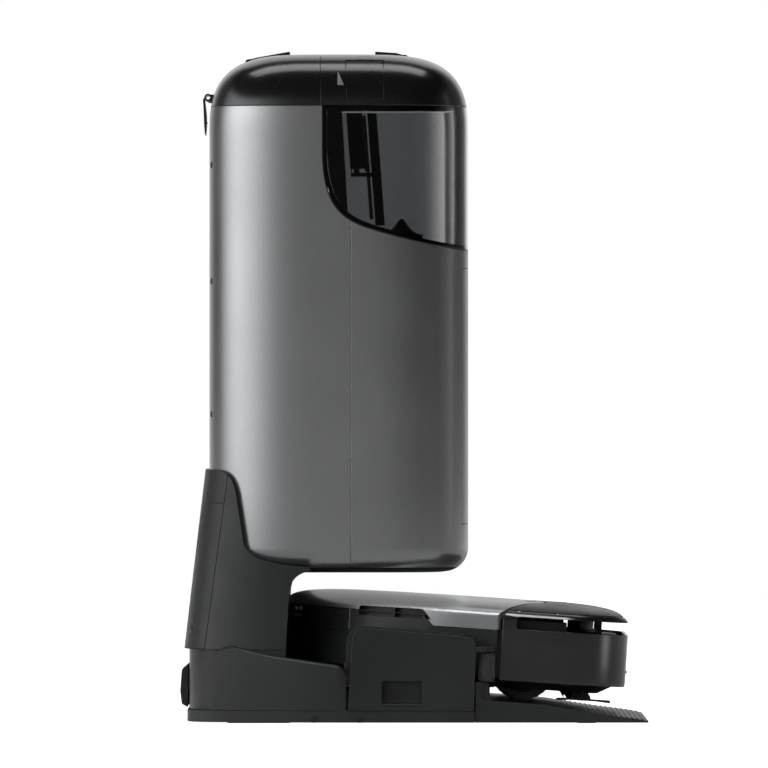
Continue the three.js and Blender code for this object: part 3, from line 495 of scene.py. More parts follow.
def edge_mask(tree, radius):
    """0 on flats, rising along edges, where the bevelled normal leaves the true one."""
    bevel = node(tree, "ShaderNodeBevel", samples=4)
    bevel.inputs["Radius"].default_value = radius
    flat = node(tree, "ShaderNodeNewGeometry")
    dot = node(tree, "ShaderNodeVectorMath", operation="DOT_PRODUCT")
    tree.links.new(bevel.outputs["Normal"], dot.inputs[0])
    tree.links.new(flat.outputs["Normal"], dot.inputs[1])
    return ranged(tree, dot.outputs["Value"], 1.0, 0.0, 0.82, 0.995), bevel.outputs["Normal"]


def bumped(tree, shader, height, distance, strength=1.0, normal=None):
    bump = node(tree, "ShaderNodeBump")
    bump.inputs["Distance"].default_value = distance
    bump.inputs["Strength"].default_value = strength
    tree.links.new(height, bump.inputs["Height"])
    if normal is not None:
        tree.links.new(normal, bump.inputs["Normal"])
    tree.links.new(bump.outputs["Normal"], shader.inputs["Normal"])


# %% Finishes for the shells
def moulded_plastic(name, dark, light, rough, grain=1500, depth=0.00003, wear=(0.05, 0.05, 0.051), shine=0.3):
    """Injection-moulded black: cloudy tone, spark-eroded grain, slightly polished edges."""
    material, tree, shader = new_finish(name)
    cloud = object_noise(tree, 9, 3)
    tone = blended(tree, ranged(tree, cloud, 0, 1), dark, light)
    edges, eased = edge_mask(tree, 0.0007)
    scuffs = object_noise(tree, 70, 4, 0.6)
    worn = node(tree, "ShaderNodeMath", operation="MULTIPLY")
    tree.links.new(edges, worn.inputs[0])
    tree.links.new(ranged(tree, scuffs, 0.1, 0.8), worn.inputs[1])
    tree.links.new(blended(tree, worn.outputs["Value"], tone, wear), shader.inputs["Base Color"])
    grain_height = object_noise(tree, grain, 2, 0.6)
    gloss = ranged(tree, object_noise(tree, 24, 3), rough - 0.05, rough + 0.06)
    tree.links.new(gloss, shader.inputs["Roughness"])
    shader.inputs["Specular IOR Level"].default_value = shine
    bumped(tree, shader, grain_height, depth, 0.4, eased)
    return material


def graphite_paint(name, smooth, rough):
    """Metallic graphite paint: flakes of slightly different tone under a thin clear coat."""
    material, tree, shader = new_finish(name)
    flakes = node(tree, "ShaderNodeTexVoronoi", feature="F1")
    flakes.inputs["Scale"].default_value = 2600
    place = node(tree, "ShaderNodeTexCoord")
    tree.links.new(place.outputs["Object"], flakes.inputs["Vector"])
    sparkle = node(tree, "ShaderNodeSeparateColor")
    tree.links.new(flakes.outputs["Color"], sparkle.inputs["Color"])
    tone = blended(tree, sparkle.outputs["Red"], (0.225, 0.228, 0.232), (0.275, 0.279, 0.284))
    edges, eased = edge_mask(tree, 0.0006)
    # painted highlight: the paint's colour turns lighter along every edge
    tree.links.new(blended(tree, edges, tone, (0.36, 0.365, 0.37)), shader.inputs["Base Color"])
    shader.inputs["Metallic"].default_value = 0.92
    tree.links.new(ranged(tree, object_noise(tree, 14, 3), smooth, rough), shader.inputs["Roughness"])
    shader.inputs["Coat Weight"].default_value = 0.25
    shader.inputs["Coat Roughness"].default_value = 0.22
    bumped(tree, shader, object_noise(tree, 900, 2), 0.00001, 0.25, eased)
    return material


def piano_black():
    """Deep gloss black with faint ripples from the mould and hair-fine wiping marks."""
    material, tree, shader = new_finish("piano_black")
    dust = object_noise(tree, 420, 2)
    tone = blended(tree, ranged(tree, dust, 0, 1, 0.62, 0.8), (0.0085, 0.0085, 0.009), (0.024, 0.024, 0.025))
    edges, eased = edge_mask(tree, 0.0006)
    # painted highlight: the black's colour turns lighter along every edge
    tree.links.new(blended(tree, edges, tone, (0.035, 0.035, 0.036)), shader.inputs["Base Color"])
    wipes = object_noise(tree, 60, 5, 0.7, (1.0, 9.0, 1.0))
    tree.links.new(ranged(tree, wipes, 0.17, 0.24), shader.inputs["Roughness"])
    bumped(tree, shader, object_noise(tree, 55, 1), 0.00006, 0.25, eased)
    return material


# Painted light on the tank, by a point's distance across the front corner. The ramp's level sets the tint:
# 0 is painted shade, 0.5 the plain smoked tint, and 1 a painted clear patch for light coming through. The drop
# to 0 near three quarters across is a painted shade band where the wall is seen edge-on.
PAINTED_LIGHT_START, PAINTED_LIGHT_END = 0, 56
TANK_PAINTED_LIGHT = [(0.0, 0.5), (0.28, 0.54), (0.52, 0.8), (0.67, 1.0), (0.72, 0.98), (0.745, 0.0), (0.80, 0.0),
               (0.84, 0.55), (0.93, 0.95), (1.0, 1.0)]


def smoked_clear():
    """Smoked polycarbonate: clear, tinted, with faint flow marks that blur it a little, and painted shade and
    painted clear patches across its front corner.
    """
    material, tree, shader = new_finish("smoked_clear")
    cloud = ranged(tree, object_noise(tree, 6, 2), 0, 1)
    tone = blended(tree, cloud, (0.285, 0.293, 0.303), (0.33, 0.338, 0.348))
    # painted light: each point's place across the front corner picks its painted shade or painted clear tint
    corner = node(tree, "ShaderNodeAttribute", attribute_name="corner")
    painted_light_ramp = node(tree, "ShaderNodeValToRGB")
    stops = painted_light_ramp.color_ramp.elements
    stops.remove(stops[1])
    for i, (place, level) in enumerate(TANK_PAINTED_LIGHT):
        stop = stops[0] if i == 0 else stops.new(place)
        stop.position = place
        stop.color = (level, level, level, 1)
    tree.links.new(corner.outputs["Fac"], painted_light_ramp.inputs["Fac"])
    painted_clear_tone = blended(tree, ranged(tree, painted_light_ramp.outputs["Color"], 0, 1, 0.5, 1), tone, (0.99, 0.99, 0.99))
    # painted shade: the dark end of the tint, for the band where the wall is seen edge-on
    darker = blended(tree, ranged(tree, painted_light_ramp.outputs["Color"], 0, 1, 0, 0.5), (0.12, 0.12, 0.125), painted_clear_tone)
    tree.links.new(darker, shader.inputs["Base Color"])
    shader.inputs["Transmission Weight"].default_value = 1.0
    shader.inputs["IOR"].default_value = 1.3
    tree.links.new(ranged(tree, object_noise(tree, 90, 4), 0.02, 0.07), shader.inputs["Roughness"])
    bumped(tree, shader, object_noise(tree, 30, 1), 0.00003, 0.15)
    tint = node(tree, "ShaderNodeVolumeAbsorption")
    tint.inputs["Color"].default_value = (0, 0, 0, 1)
    tint.inputs["Density"].default_value = 90
    tree.links.new(tint.outputs["Volume"], tree.nodes["Material Output"].inputs["Volume"])
    return material


SATIN = moulded_plastic(
    "satin_black_plastic", (0.0105, 0.0113, 0.0119), (0.0145, 0.0156, 0.0162), 0.42, shine=0.24)
MATTE = moulded_plastic(
    "matte_black_plastic", (0.007, 0.0072, 0.0075), (0.011, 0.0114, 0.0118), 0.58, grain=1100, shine=0.2)
BUMPER = moulded_plastic("bumper_black", (0.004, 0.0042, 0.0045), (0.006, 0.0064, 0.0067), 0.2, shine=0.5)
GRAPHITE = graphite_paint("graphite_paint", 0.29, 0.34)
ROBOT_PAINT = graphite_paint("robot_graphite_paint", 0.40, 0.46)
PIANO = piano_black()
SMOKE = smoked_clear()


# %% Finishes for the small parts
def rubber_finish():
    material, tree, shader = new_finish("black_rubber")
    mottle = ranged(tree, object_noise(tree, 260, 4), 0, 1)
    tone = blended(tree, mottle, (0.008, 0.008, 0.008), (0.02, 0.02, 0.02))
    tree.links.new(tone, shader.inputs["Base Color"])
    shader.inputs["Roughness"].default_value = 0.82
    shader.inputs["Sheen Weight"].default_value = 0.15
    bumped(tree, shader, object_noise(tree, 1400, 3), 0.00008, 0.6, edge_mask(tree, 0.0006)[1])
    return material


def fibre_finish(name, dark, light, scale, rough=0.95):
    """Matted fibres: stretched noise in two directions."""
    material, tree, shader = new_finish(name)
    warp = object_noise(tree, scale, 4, 0.65, (1, 6, 1))
    weft = object_noise(tree, scale, 4, 0.65, (6, 1, 1))
    both = node(tree, "ShaderNodeMath", operation="MULTIPLY")
    tree.links.new(ranged(tree, warp, 0, 1), both.inputs[0])
    tree.links.new(ranged(tree, weft, 0.3, 1), both.inputs[1])
    tree.links.new(blended(tree, both.outputs["Value"], dark, light), shader.inputs["Base Color"])
    shader.inputs["Roughness"].default_value = rough
    shader.inputs["Sheen Weight"].default_value = 0.4
    bumped(tree, shader, both.outputs["Value"], 0.0003, 0.7)
    return material


def metal_finish(name, dark, light, rough, stretch=(1, 1, 14)):
    """Machined or plated metal with turning marks."""
    material, tree, shader = new_finish(name)
    marks = object_noise(tree, 300, 4, 0.6, stretch)
    tree.links.new(blended(tree, ranged(tree, marks, 0, 1), dark, light), shader.inputs["Base Color"])
    shader.inputs["Metallic"].default_value = 1.0
    tree.links.new(ranged(tree, marks, rough - 0.08, rough + 0.1), shader.inputs["Roughness"])
    bumped(tree, shader, marks, 0.00003, 0.4, edge_mask(tree, 0.0004)[1])
    return material


def board_finish():
    """Green solder mask with faint copper tracks under it."""
    material, tree, shader = new_finish("board_green")
    tracks = node(tree, "ShaderNodeTexBrick")
    tracks.inputs["Scale"].default_value = 160
    tracks.inputs["Color1"].default_value = (0.012, 0.09, 0.035, 1)
    tracks.inputs["Color2"].default_value = (0.014, 0.11, 0.04, 1)
    tracks.inputs["Mortar"].default_value = (0.05, 0.17, 0.06, 1)
    place = node(tree, "ShaderNodeTexCoord")
    turn = node(tree, "ShaderNodeMapping")
    turn.inputs["Rotation"].default_value = (math.pi / 2, 0, 0)
    tree.links.new(place.outputs["Object"], turn.inputs["Vector"])
    tree.links.new(turn.outputs["Vector"], tracks.inputs["Vector"])
    tree.links.new(tracks.outputs["Color"], shader.inputs["Base Color"])
    tree.links.new(ranged(tree, object_noise(tree, 120, 2), 0.3, 0.45), shader.inputs["Roughness"])
    return material


RUBBER = rubber_finish()
FELT = fibre_finish("mop_felt", (0.16, 0.165, 0.175), (0.42, 0.43, 0.44), 700)
CARD = fibre_finish("bag_fleece", (0.52, 0.50, 0.45), (0.72, 0.70, 0.65), 260)
STEEL = metal_finish("turned_aluminium", (0.48, 0.49, 0.5), (0.66, 0.67, 0.68), 0.3)
BRASS = metal_finish("plated_contact", (0.62, 0.42, 0.16), (0.8, 0.58, 0.26), 0.25)
BOARD = board_finish()
LIGHT_PLASTIC = moulded_plastic(
    "grey_inlay", (0.22, 0.225, 0.23), (0.27, 0.275, 0.28), 0.4, wear=(0.4, 0.4, 0.4))
print("finishes", len(bpy.data.materials))

# %% [markdown]
# ## Turning solids into finished pieces
# Two makers finish every piece. `piece` takes a solid, merges its doubles, shades it smooth with its
# real corners kept sharp, and rounds those corners with a narrow bevel. `dress` does the same to a copy
# of a small CAD part, whose flat facets are first joined up so that the bevel has whole faces to work on.


# %% Piece makers
SOFT_ANGLE = math.radians(33)
FACET_ANGLE = 0.6  # degrees between facets of one flat face


def clean(mesh, flatten=0.0):
    """Merges doubles and joins faces that lie in one plane."""
    work = bmesh.new()
    work.from_mesh(mesh)
    bmesh.ops.remove_doubles(work, verts=work.verts, dist=0.00002)
    bmesh.ops.dissolve_degenerate(work, edges=work.edges, dist=0.00002)
    if flatten:
        bmesh.ops.dissolve_limit(work, angle_limit=math.radians(flatten), verts=work.verts, edges=work.edges)
    work.to_mesh(mesh)
    work.free()
    mesh.update()
    return mesh


def piece(name, mesh, material, body, slot, replaces=(), edge=0.5, flatten=0.0, angle=SOFT_ANGLE):
    clean(mesh, flatten)
    mesh.shade_smooth()
    mesh.set_sharp_from_angle(angle=angle)
    mesh.materials.clear()
    mesh.materials.append(material)
    obj = show(mesh, name)
    if edge:
        bevel = obj.modifiers.new("eased_edges", "BEVEL")
        bevel.width = edge * MM
        bevel.segments = 2
        bevel.limit_method = "ANGLE"
        bevel.angle_limit = angle
        bevel.harden_normals = True
        bevel.miter_outer = "MITER_ARC"
    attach(obj, body)
    if replaces:
        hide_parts(*replaces)
    return obj


BODY_OF = {name: body for body, names in frame["record"]["behaviour"]["bodies"].items() for name in names}
SLOT_OF = {entry["node"]: entry["material_slot"] for entry in frame["record"]["subparts"]}


def dress(name, material, edge):
    """A CAD part copied, smoothed and given soft edges."""
    copy = frame["nodes"][name].data.copy()
    return piece(name + "_skin", copy, material, BODY_OF[name], SLOT_OF[name], [name], edge, FACET_ANGLE)


# %% [markdown]
# ## The tower
# The cabinet is two painted shells that meet on a vertical line, with the tank's window cut out of them by
# one slanting curve. A lower door in the front face gives access to the dust bag. All three come from one
# hollow form, so their surfaces run on from each other.

# %% Tower shells
FILLET_STEPS = 14
foot = [SHELL_FOOT] + [TOWER["bottom"] + TOWER["fillet"] * (1 - math.cos(math.pi / 2 * i / FILLET_STEPS))
                       for i in range(5, FILLET_STEPS + 1)]
foot = [z for z in foot if z >= SHELL_FOOT]
head = dome_heights(DOME_START, TOWER["top"], DOME_START, SHELL_TOP, 40)
body_heights = sorted(foot + [230, 300, 370, 440, 510, 550] + head)
outer = tower_form(body_heights)
inner = tower_form([SHELL_FOOT - 1] + body_heights[1:-1] + [SHELL_TOP + 1], WALL)
shell = cut(outer, inner, window_region(0, 0, -FAR, FAR))

DOOR = {"y": 125, "z0": 197, "z1": 450}


def door_zone(grow):
    return box(20, FAR, -DOOR["y"] - grow, DOOR["y"] + grow, DOOR["z0"] - grow, DOOR["z1"] + grow)


groove = box(53.4, 60, -32, 32, DOOR["z0"] - 2.6, DOOR["z0"] + 2.6)
rear_half = common(shell, box(-FAR, SEAM_X - GAP / 2, -FAR, FAR, 0, 800))
front_half = common(shell, box(SEAM_X + GAP / 2, FAR, -FAR, FAR, 0, 800))
piece("rear_shell", rear_half, GRAPHITE, "dock", "graphite", ["tower_rear_shell"], 0.35)
front_skin = cut(front_half, door_zone(GAP), groove)
piece("front_shell", front_skin, GRAPHITE, "dock", "graphite", ["tower_front_shell"], 0.35)
door_skin = cut(common(front_half, door_zone(0)), groove)
piece("dust_door", door_skin, GRAPHITE, "bag_door", "graphite", ["bag_door"], 0.35)
print("tower shells", len(rear_half.polygons), len(front_skin.polygons))

# %% [markdown]
# ## A tree that lays a bead along a path
# The window's seal and the lip on the bumper are a round section swept along a line. One small Geometry
# Nodes tree does it: the object's own edges become a curve, a circle of the wanted radius and number of
# sides is swept along it, and the result is closed and given its material.


# %% Bead along a path
def new_tree(name, *sockets):
    """A tree with named inputs, each given as (name, kind, default), and one for the material."""
    tree = bpy.data.node_groups.new(name, "GeometryNodeTree")
    tree.interface.new_socket("Geometry", in_out="INPUT", socket_type="NodeSocketGeometry")
    tree.interface.new_socket("Geometry", in_out="OUTPUT", socket_type="NodeSocketGeometry")
    for label, kind, default in (*sockets, ("Material", "Material", None)):
        socket = tree.interface.new_socket(label, in_out="INPUT", socket_type="NodeSocket" + kind)
        if default is not None:
            socket.default_value = default
    return tree, node(tree, "NodeGroupInput"), node(tree, "NodeGroupOutput")


def wire(tree, *joins):
    """Links nodes, each join given as (node, its output, node, its input)."""
    for source, leaving, target, entering in joins:
        tree.links.new(source.outputs[leaving], target.inputs[entering])


def close_tree(tree, start, end, last, leaving):
    """Ends a tree with plain geometry in its material."""
    real = node(tree, "GeometryNodeRealizeInstances")
    paint = node(tree, "GeometryNodeSetMaterial")
    wire(tree, (last, leaving, real, "Geometry"), (real, "Geometry", paint, "Geometry"),
         (start, "Material", paint, "Material"), (paint, "Geometry", end, "Geometry"))
    return tree


def bead_tree():
    tree, start, end = new_tree("bead_along_path", ("Radius", "Float", 0.001), ("Sides", "Int", 10))
    line = node(tree, "GeometryNodeMeshToCurve")
    section = node(tree, "GeometryNodeCurvePrimitiveCircle")
    sweep = node(tree, "GeometryNodeCurveToMesh")
    sweep.inputs["Fill Caps"].default_value = True
    wire(tree, (start, "Geometry", line, "Mesh"), (start, "Radius", section, "Radius"),
         (start, "Sides", section, "Resolution"), (line, "Curve", sweep, "Curve"),
         (section, "Curve", sweep, "Profile Curve"))
    return close_tree(tree, start, end, sweep, "Mesh")


BEAD = bead_tree()


def grown(source, tree, **values):
    """Runs a Geometry Nodes tree on a mesh and returns the plain result."""
    host = show(source)
    step = host.modifiers.new("grow", "NODES")
    step.node_group = tree
    named = {item.name: item.identifier for item in tree.interface.items_tree if item.item_type == "SOCKET"
             and item.in_out == "INPUT"}
    for key, value in values.items():
        step[named[key.replace("_", " ")]] = value
    made = baked(host)
    bpy.data.objects.remove(host)
    return made


def path_mesh(points):
    mesh = bpy.data.meshes.new("path")
    edges = [(i, i + 1) for i in range(len(points) - 1)]
    mesh.from_pydata([tuple(c * MM for c in p) for p in points], edges, [])
    return mesh


def bead(name, points, radius, material, body, slot):
    swept = grown(path_mesh(points), BEAD, Radius=radius * MM, Sides=10, Material=material)
    return piece(name, swept, material, body, slot, edge=0, angle=math.radians(50))


# %% [markdown]
# ## Window seal and tower fastenings
# A thin black seal fills the gap between the tank and the shells. It runs down the window's straight rear
# edge, round the slanting curve, and across the front. Its path comes from the two rules that meet there: the
# window's curve gives x and z, and the tower's plan gives how far out the wall stands.


# %% Window seal
def wall_y(x, z):
    """How far the tower's wall stands from the middle plane at (x, z)."""
    d = tower_inset(z)
    share = min(abs((x - TOWER["x"]) / (TOWER["a"] - d)), 0.99999)
    return (TOWER["b"] - d) * (1 - share ** TOWER["power"]) ** (1 / TOWER["power"])


back = WINDOW_BACK_X
curve = [(back, 608), (back, 590)] + bezier((back, 566), (back, 500), (-62, 494), (-26, 483.6), steps=24)
curve += bezier((-26, 483.6), (15, 472), (60, 467.2), steps=16)[1:-1]
side = [(x, z) for x, z in curve if x < 51]
near = [(x, -wall_y(x, z) + 1.3, z) for x, z in side]
plan = superellipse(TOWER["a"], TOWER["b"], 400)
front_arc = sorted(((x, y) for x, y in plan if x > 51), key=lambda p: p[1])
across = [(x - 1.3, y, 467.9 + (55 - x) * 0.1) for x, y in front_arc]
far = [(x, -y, z) for x, y, z in reversed(near)]
bead("window_seal", near + across + far, 1.2, RUBBER, "dock", "rubber")

# %% [markdown]
# ## Screws from one tree
# The same small screw holds the tower's shells and the column's cover. A tree stands one on every point of
# a small cloud: a turned head with a cross of two slots. The cloud carries each screw's direction as an
# attribute, so one tree serves every face, and the tyres' lugs and the brushes' bristles too.


# %% Screw tree
def screw_shape():
    head = [(1.5, -2.0), (1.7, -0.4), (2.9, 0.0), (2.9, 0.35), (2.5, 0.75), (1.4, 0.95), (0.0, 1.0)]
    body = lathe("z", (0, 0, 0), head, 20)
    slots = [box(-1.5, 1.5, -0.3, 0.3, 0.3, 2), box(-0.3, 0.3, -1.5, 1.5, 0.3, 2)]
    return cut(body, *slots)


SCREW = show(screw_shape(), "screw_pattern")
SCREW.hide_render = True


def scatter_tree():
    """Stands the chosen object on each point, its +Z turned to the point's facing attribute."""
    tree, start, end = new_tree("stand_on_points", ("Pattern", "Object", None), ("Scale", "Float", 1.0))
    info = node(tree, "GeometryNodeObjectInfo")
    facing = node(tree, "GeometryNodeInputNamedAttribute", data_type="FLOAT_VECTOR")
    facing.inputs["Name"].default_value = "facing"
    turn = node(tree, "FunctionNodeAlignRotationToVector", axis="Z")
    place = node(tree, "GeometryNodeInstanceOnPoints")
    wire(tree, (start, "Geometry", place, "Points"), (start, "Pattern", info, "Object"),
         (info, "Geometry", place, "Instance"), (facing, "Attribute", turn, "Vector"),
         (turn, "Rotation", place, "Rotation"), (start, "Scale", place, "Scale"))
    return close_tree(tree, start, end, place, "Instances")


SCATTER = scatter_tree()


def points_facing(places):
    """A cloud of (point, direction) pairs, in millimetres."""
    mesh = bpy.data.meshes.new("points")
    mesh.from_pydata([tuple(c * MM for c in p) for p, _ in places], [], [])
    facing = mesh.attributes.new("facing", "FLOAT_VECTOR", "POINT")
    for i, (_, direction) in enumerate(places):
        facing.data[i].vector = direction
    return mesh


def screws(name, places, material, body, slot, scale):
    made = grown(points_facing(places), SCATTER, Pattern=SCREW, Scale=scale, Material=material)
    return piece(name, made, material, body, slot, edge=0)


def plan_normal(x, y, a, b):
    """The outward direction of the superellipse at a point of it."""
    power = TOWER["power"] - 1
    nx = math.copysign(abs((x - TOWER["x"]) / a) ** power / a, x - TOWER["x"])
    ny = math.copysign(abs(y / b) ** power / b, y)
    return Vector((nx, ny, 0)).normalized()


rear_screws = []
for height in (553, 437.5, 305.5):
    for side_sign in (-1, 1):
        x = -200.2
        y = side_sign * wall_y(x, height)
        normal = plan_normal(x, y, TOWER["a"], TOWER["b"])
        rear_screws.append(((x, y, height), normal))
screws("rear_shell_screws", rear_screws, PIANO, "dock", "gloss_black", 1.1)

# %% [markdown]
# ## Clean water tank
# The tank is a smoked clear box whose outside carries on the tower's form. What shows through it gives it
# depth: an opaque channel along its rear wall, a filter housing on a slotted bracket, the suction tube
# leaning forward, and the outlet valve's cone on the floor.


# %% Clean tank
tank_heights = [440, 500, 550] + dome_heights(DOME_START, TOWER["top"], DOME_START, 610.4, 30)
tank_outer = common(tower_form(tank_heights), window_region(1.2, 1, -FAR, FAR))
tank_room = common(
    tower_form([430] + tank_heights[1:-1] + [611.4], WALL), window_region(1.2 + WALL, 1 + WALL, -FAR, FAR)
)
tank_skin = clean(cut(tank_outer, tank_room))
# painted light: each point's distance across the front corner, which sets where the tank's tint is painted
# darker or clearer
corner = tank_skin.attributes.new("corner", "FLOAT", "POINT")
for vertex, value in zip(tank_skin.vertices, corner.data):
    across = vertex.co.x / MM + tower_inset(vertex.co.z / MM)
    value.value = (across - PAINTED_LIGHT_START) / (PAINTED_LIGHT_END - PAINTED_LIGHT_START)
piece("clean_tank_shell", tank_skin, SMOKE, "clean_tank", "smoked_clear", ["clean_tank"], 0.4)
dress("tank_rear_channel", PIANO, 0.8)
dress("tank_intake", MATTE, 0.6)
dress("tank_valve", MATTE, 0.4)


def lean_bar(x0, x1, z0, z1, y0, y1):
    """A bar that leans with the suction tube."""
    def lean(x, z):
        return x + (608 - z) * 0.075
    return prism([(lean(x0, z0), z0), (lean(x1, z0), z0), (lean(x1, z1), z1), (lean(x0, z1), z1)], y0, y1)


cage = join(
    lean_bar(-66.5, -65.2, 547.5, 600, -27.2, -26.4),
    lean_bar(-52.4, -51.0, 547.5, 600, -27.2, -26.4),
    *[lean_bar(-66.5, -51.0, z, z + 1.6, -27.3, -26.3) for z in (552, 562, 572, 582, 592)],
)
piece("intake_cage_right", cage, SATIN, "clean_tank", "matte_black", edge=0.2)
strip = lean_bar(-51.2, -47.6, 500, 604, -3, 3)
piece("suction_tube_strip", strip, LIGHT_PLASTIC, "clean_tank", "matte_black", edge=0.4)

# %% [markdown]
# ## Lids, handles and latches
# Two piano-black lids close the top of the tower. Each carries a bail handle that folds flat into a groove,
# with a pocket for the fingers. The clean lid has a latch in its near side with a grey inlay on top; the
# dirty lid is held by a curved clip that hangs from a knuckle at the rear.


# %% Lids
lid_heights = dome_heights(DOME_START, TOWER["top"], LID_FOOT, TOWER["top"], 46)
lid_solid = tower_form(lid_heights)
lid_room_heights = [LID_FOOT - 1] + [z for z in lid_heights if LID_FOOT < z < 652] + [652.6]
lid_room = tower_form(lid_room_heights, WALL, 10)
HANDLES = {
    "dirty": {"pivot": (-164, 655.6), "length": 42, "tilt": 5, "sign": 1, "leg_y": 66, "crown": (4, 7)},
    "clean": {"pivot": (-8, 660), "length": 30, "tilt": 3, "sign": -1, "leg_y": 66, "crown": (4.4, 4.6)},
}


def handle_form(kind, grow=0.0):
    """The bail, or with grow the groove that it lies in, open upwards."""
    spec = HANDLES[kind]
    sign, length, leg_y = spec["sign"], spec["length"], spec["leg_y"]
    r = 3 + grow
    rise = 20 if grow else 0
    end = sign * (length + grow)
    parts = []
    for y in (-leg_y, leg_y):
        parts.append(box(min(0, end), max(0, end), y - 5.5 - grow, y + 5.5 + grow, -r, r + rise))
        parts.append(rod("y", (0, y, 0), r, 11 + 2 * grow, 40))
        if grow:
            parts.append(box(-r, r, y - 5.5 - grow, y + 5.5 + grow, 0, rise))
    grip = sign * (length - 13 - grow)
    parts.append(box(min(grip, end), max(grip, end), -leg_y, leg_y, -r, r + rise))
    if not grow:
        first, last = spec["crown"]
        raised = ((0, -leg_y - 5.5, -leg_y + 5.5), (0, leg_y - 5.5, leg_y + 5.5), (grip, -leg_y, leg_y))
        for start, y0, y1 in raised:
            high = first + (last - first) * start / end
            outline = [(start, 1), (start, high), (end, last), (end, 1)]
            if start == 0:
                outline = [(sign * 3, 1), (sign * 3, 2.9), (sign * 9, first), (end, last), (end, 1)]
            parts.append(prism(outline, y0, y1))
    made = join(*parts)
    made.transform(Matrix.Rotation(math.radians(-sign * spec["tilt"]), 4, "Y"))
    made.transform(Matrix.Translation((spec["pivot"][0] * MM, 0, spec["pivot"][1] * MM)))
    return made


def lid(kind):
    if kind == "dirty":
        keep = box(-FAR, LID_SPLIT_X - GAP / 2, -FAR, FAR, 500, 700)
        room = box(-FAR, LID_SPLIT_X - WALL, -FAR, FAR, 500, 700)
        fingers = box(-117, -97, -48, 48, 657, 700)
    else:
        keep = box(LID_SPLIT_X + GAP / 2, FAR, -FAR, FAR, 500, 700)
        room = box(LID_SPLIT_X + WALL, FAR, -FAR, FAR, 500, 700)
        fingers = box(-87, -42, -48, 48, 657, 700)
    return cut(common(lid_solid, keep), common(lid_room, room), handle_form(kind, 0.6), fingers)


LATCH = {"x0": -66.5, "x1": -30, "z0": 617, "z1": 655}


def latch_zone(grow):
    return box(LATCH["x0"] - grow, LATCH["x1"] + grow, -FAR, -110, LATCH["z0"] - grow, LATCH["z1"] + 2 * grow)


def lid_core(inset):
    return tower_form([LID_FOOT - 1] + lid_heights[1:], inset, inset * 0.6)


pocket = cut(latch_zone(0.6), lid_core(4))
backing = common(common(lid_core(4), latch_zone(3.5)), box(-FAR, FAR, -FAR, FAR, LID_FOOT, 656))
clean_lid = join(cut(lid("clean"), pocket), cut(backing, lid_core(7)))
piece("clean_lid_shell", clean_lid, PIANO, "clean_lid", "gloss_black", ["clean_tank_lid"], 0.5)
latch = cut(common(lid_solid, latch_zone(0)), lid_core(3.5))
piece("latch_flap", latch, PIANO, "lid_latch", "gloss_black", ["lid_latch"], 0.5)
for kind in ("clean", "dirty"):
    bail = handle_form(kind)
    piece(kind + "_bail", bail, PIANO, kind + "_handle", "gloss_black", [kind + "_tank_handle"], 1.1)

KNUCKLE = {"x": -204.6, "z": 621.4, "r": 3.8, "bore": 2}
ears = []
for y in (-28.5, 28.5):
    ears.append(rod("y", (KNUCKLE["x"], y, KNUCKLE["z"]), KNUCKLE["r"], 5, 40, 0.6))
    ears.append(box(KNUCKLE["x"], -194, y - 2.5, y + 2.5, KNUCKLE["z"] - 4.5, KNUCKLE["z"] + 3))
dirty_lid = cut(join(lid("dirty"), *ears), rod("y", (KNUCKLE["x"], 0, KNUCKLE["z"]), KNUCKLE["bore"], 80, 32))
piece("dirty_lid_shell", dirty_lid, PIANO, "dirty_lid", "gloss_black", ["dirty_tank_lid"], 0.5)

clip_line = bezier((-208.4, 622), (-205.6, 606), (-205.4, 594), (-206.9, 584), steps=16)
outer_line = bezier((-207.6, 584), (-209.2, 594), (-208.6, 607), (-209.9, 619), steps=16)
blade = prism(clip_line + outer_line, -25.5, 25.5)
knuckle = rod("y", (KNUCKLE["x"], 0, KNUCKLE["z"]), KNUCKLE["r"], 51, 40, 0.6)
nub = rod("y", (-206.9, 0, 596.5), 1.5, 30, 20, 0.4)
clip = cut(join(knuckle, blade, nub), rod("y", (KNUCKLE["x"], 0, KNUCKLE["z"]), KNUCKLE["bore"], 80, 32))
piece("rear_clip", clip, PIANO, "rear_latch", "gloss_black", ["rear_latch"], 0.3)
print("lids", len(clean_lid.polygons), len(dirty_lid.polygons))


# %% Lid trim
def on_lid(x, z, lift):
    """A point on the near side of the lid, lifted off it."""
    return (x, -wall_y(x, z) - lift, z)


def lid_patch(name, corners, material, body, slot, thick=0.5, steps=10):
    """A thin plate that follows the lid between four (x, z) corners, lower pair first."""
    (ax, az), (bx, bz), (cx, cz), (dx, dz) = corners
    grid = []
    for lift in (-0.4, thick):
        for i in range(steps + 1):
            t = i / steps
            for j in range(steps + 1):
                u = j / steps
                low = (ax + (bx - ax) * u, az + (bz - az) * u)
                high = (dx + (cx - dx) * u, dz + (cz - dz) * u)
                grid.append(on_lid(low[0] + (high[0] - low[0]) * t, low[1] + (high[1] - low[1]) * t, lift))
    row = steps + 1
    layer = row * row
    faces = []
    for i in range(steps):
        for j in range(steps):
            a = i * row + j
            faces.append((a, a + row, a + row + 1, a + 1))
            faces.append((a + layer, a + layer + 1, a + layer + row + 1, a + layer + row))
    rim = list(range(row)) + [i * row + steps for i in range(1, row)]
    rim += [steps * row + j for j in range(steps - 1, -1, -1)] + [i * row for i in range(steps - 1, 0, -1)]
    for a, b in zip(rim, rim[1:] + rim[:1]):
        faces.append((a, b, b + layer, a + layer))
    return piece(name, mesh_of(grid, faces), material, body, slot, edge=0.15)


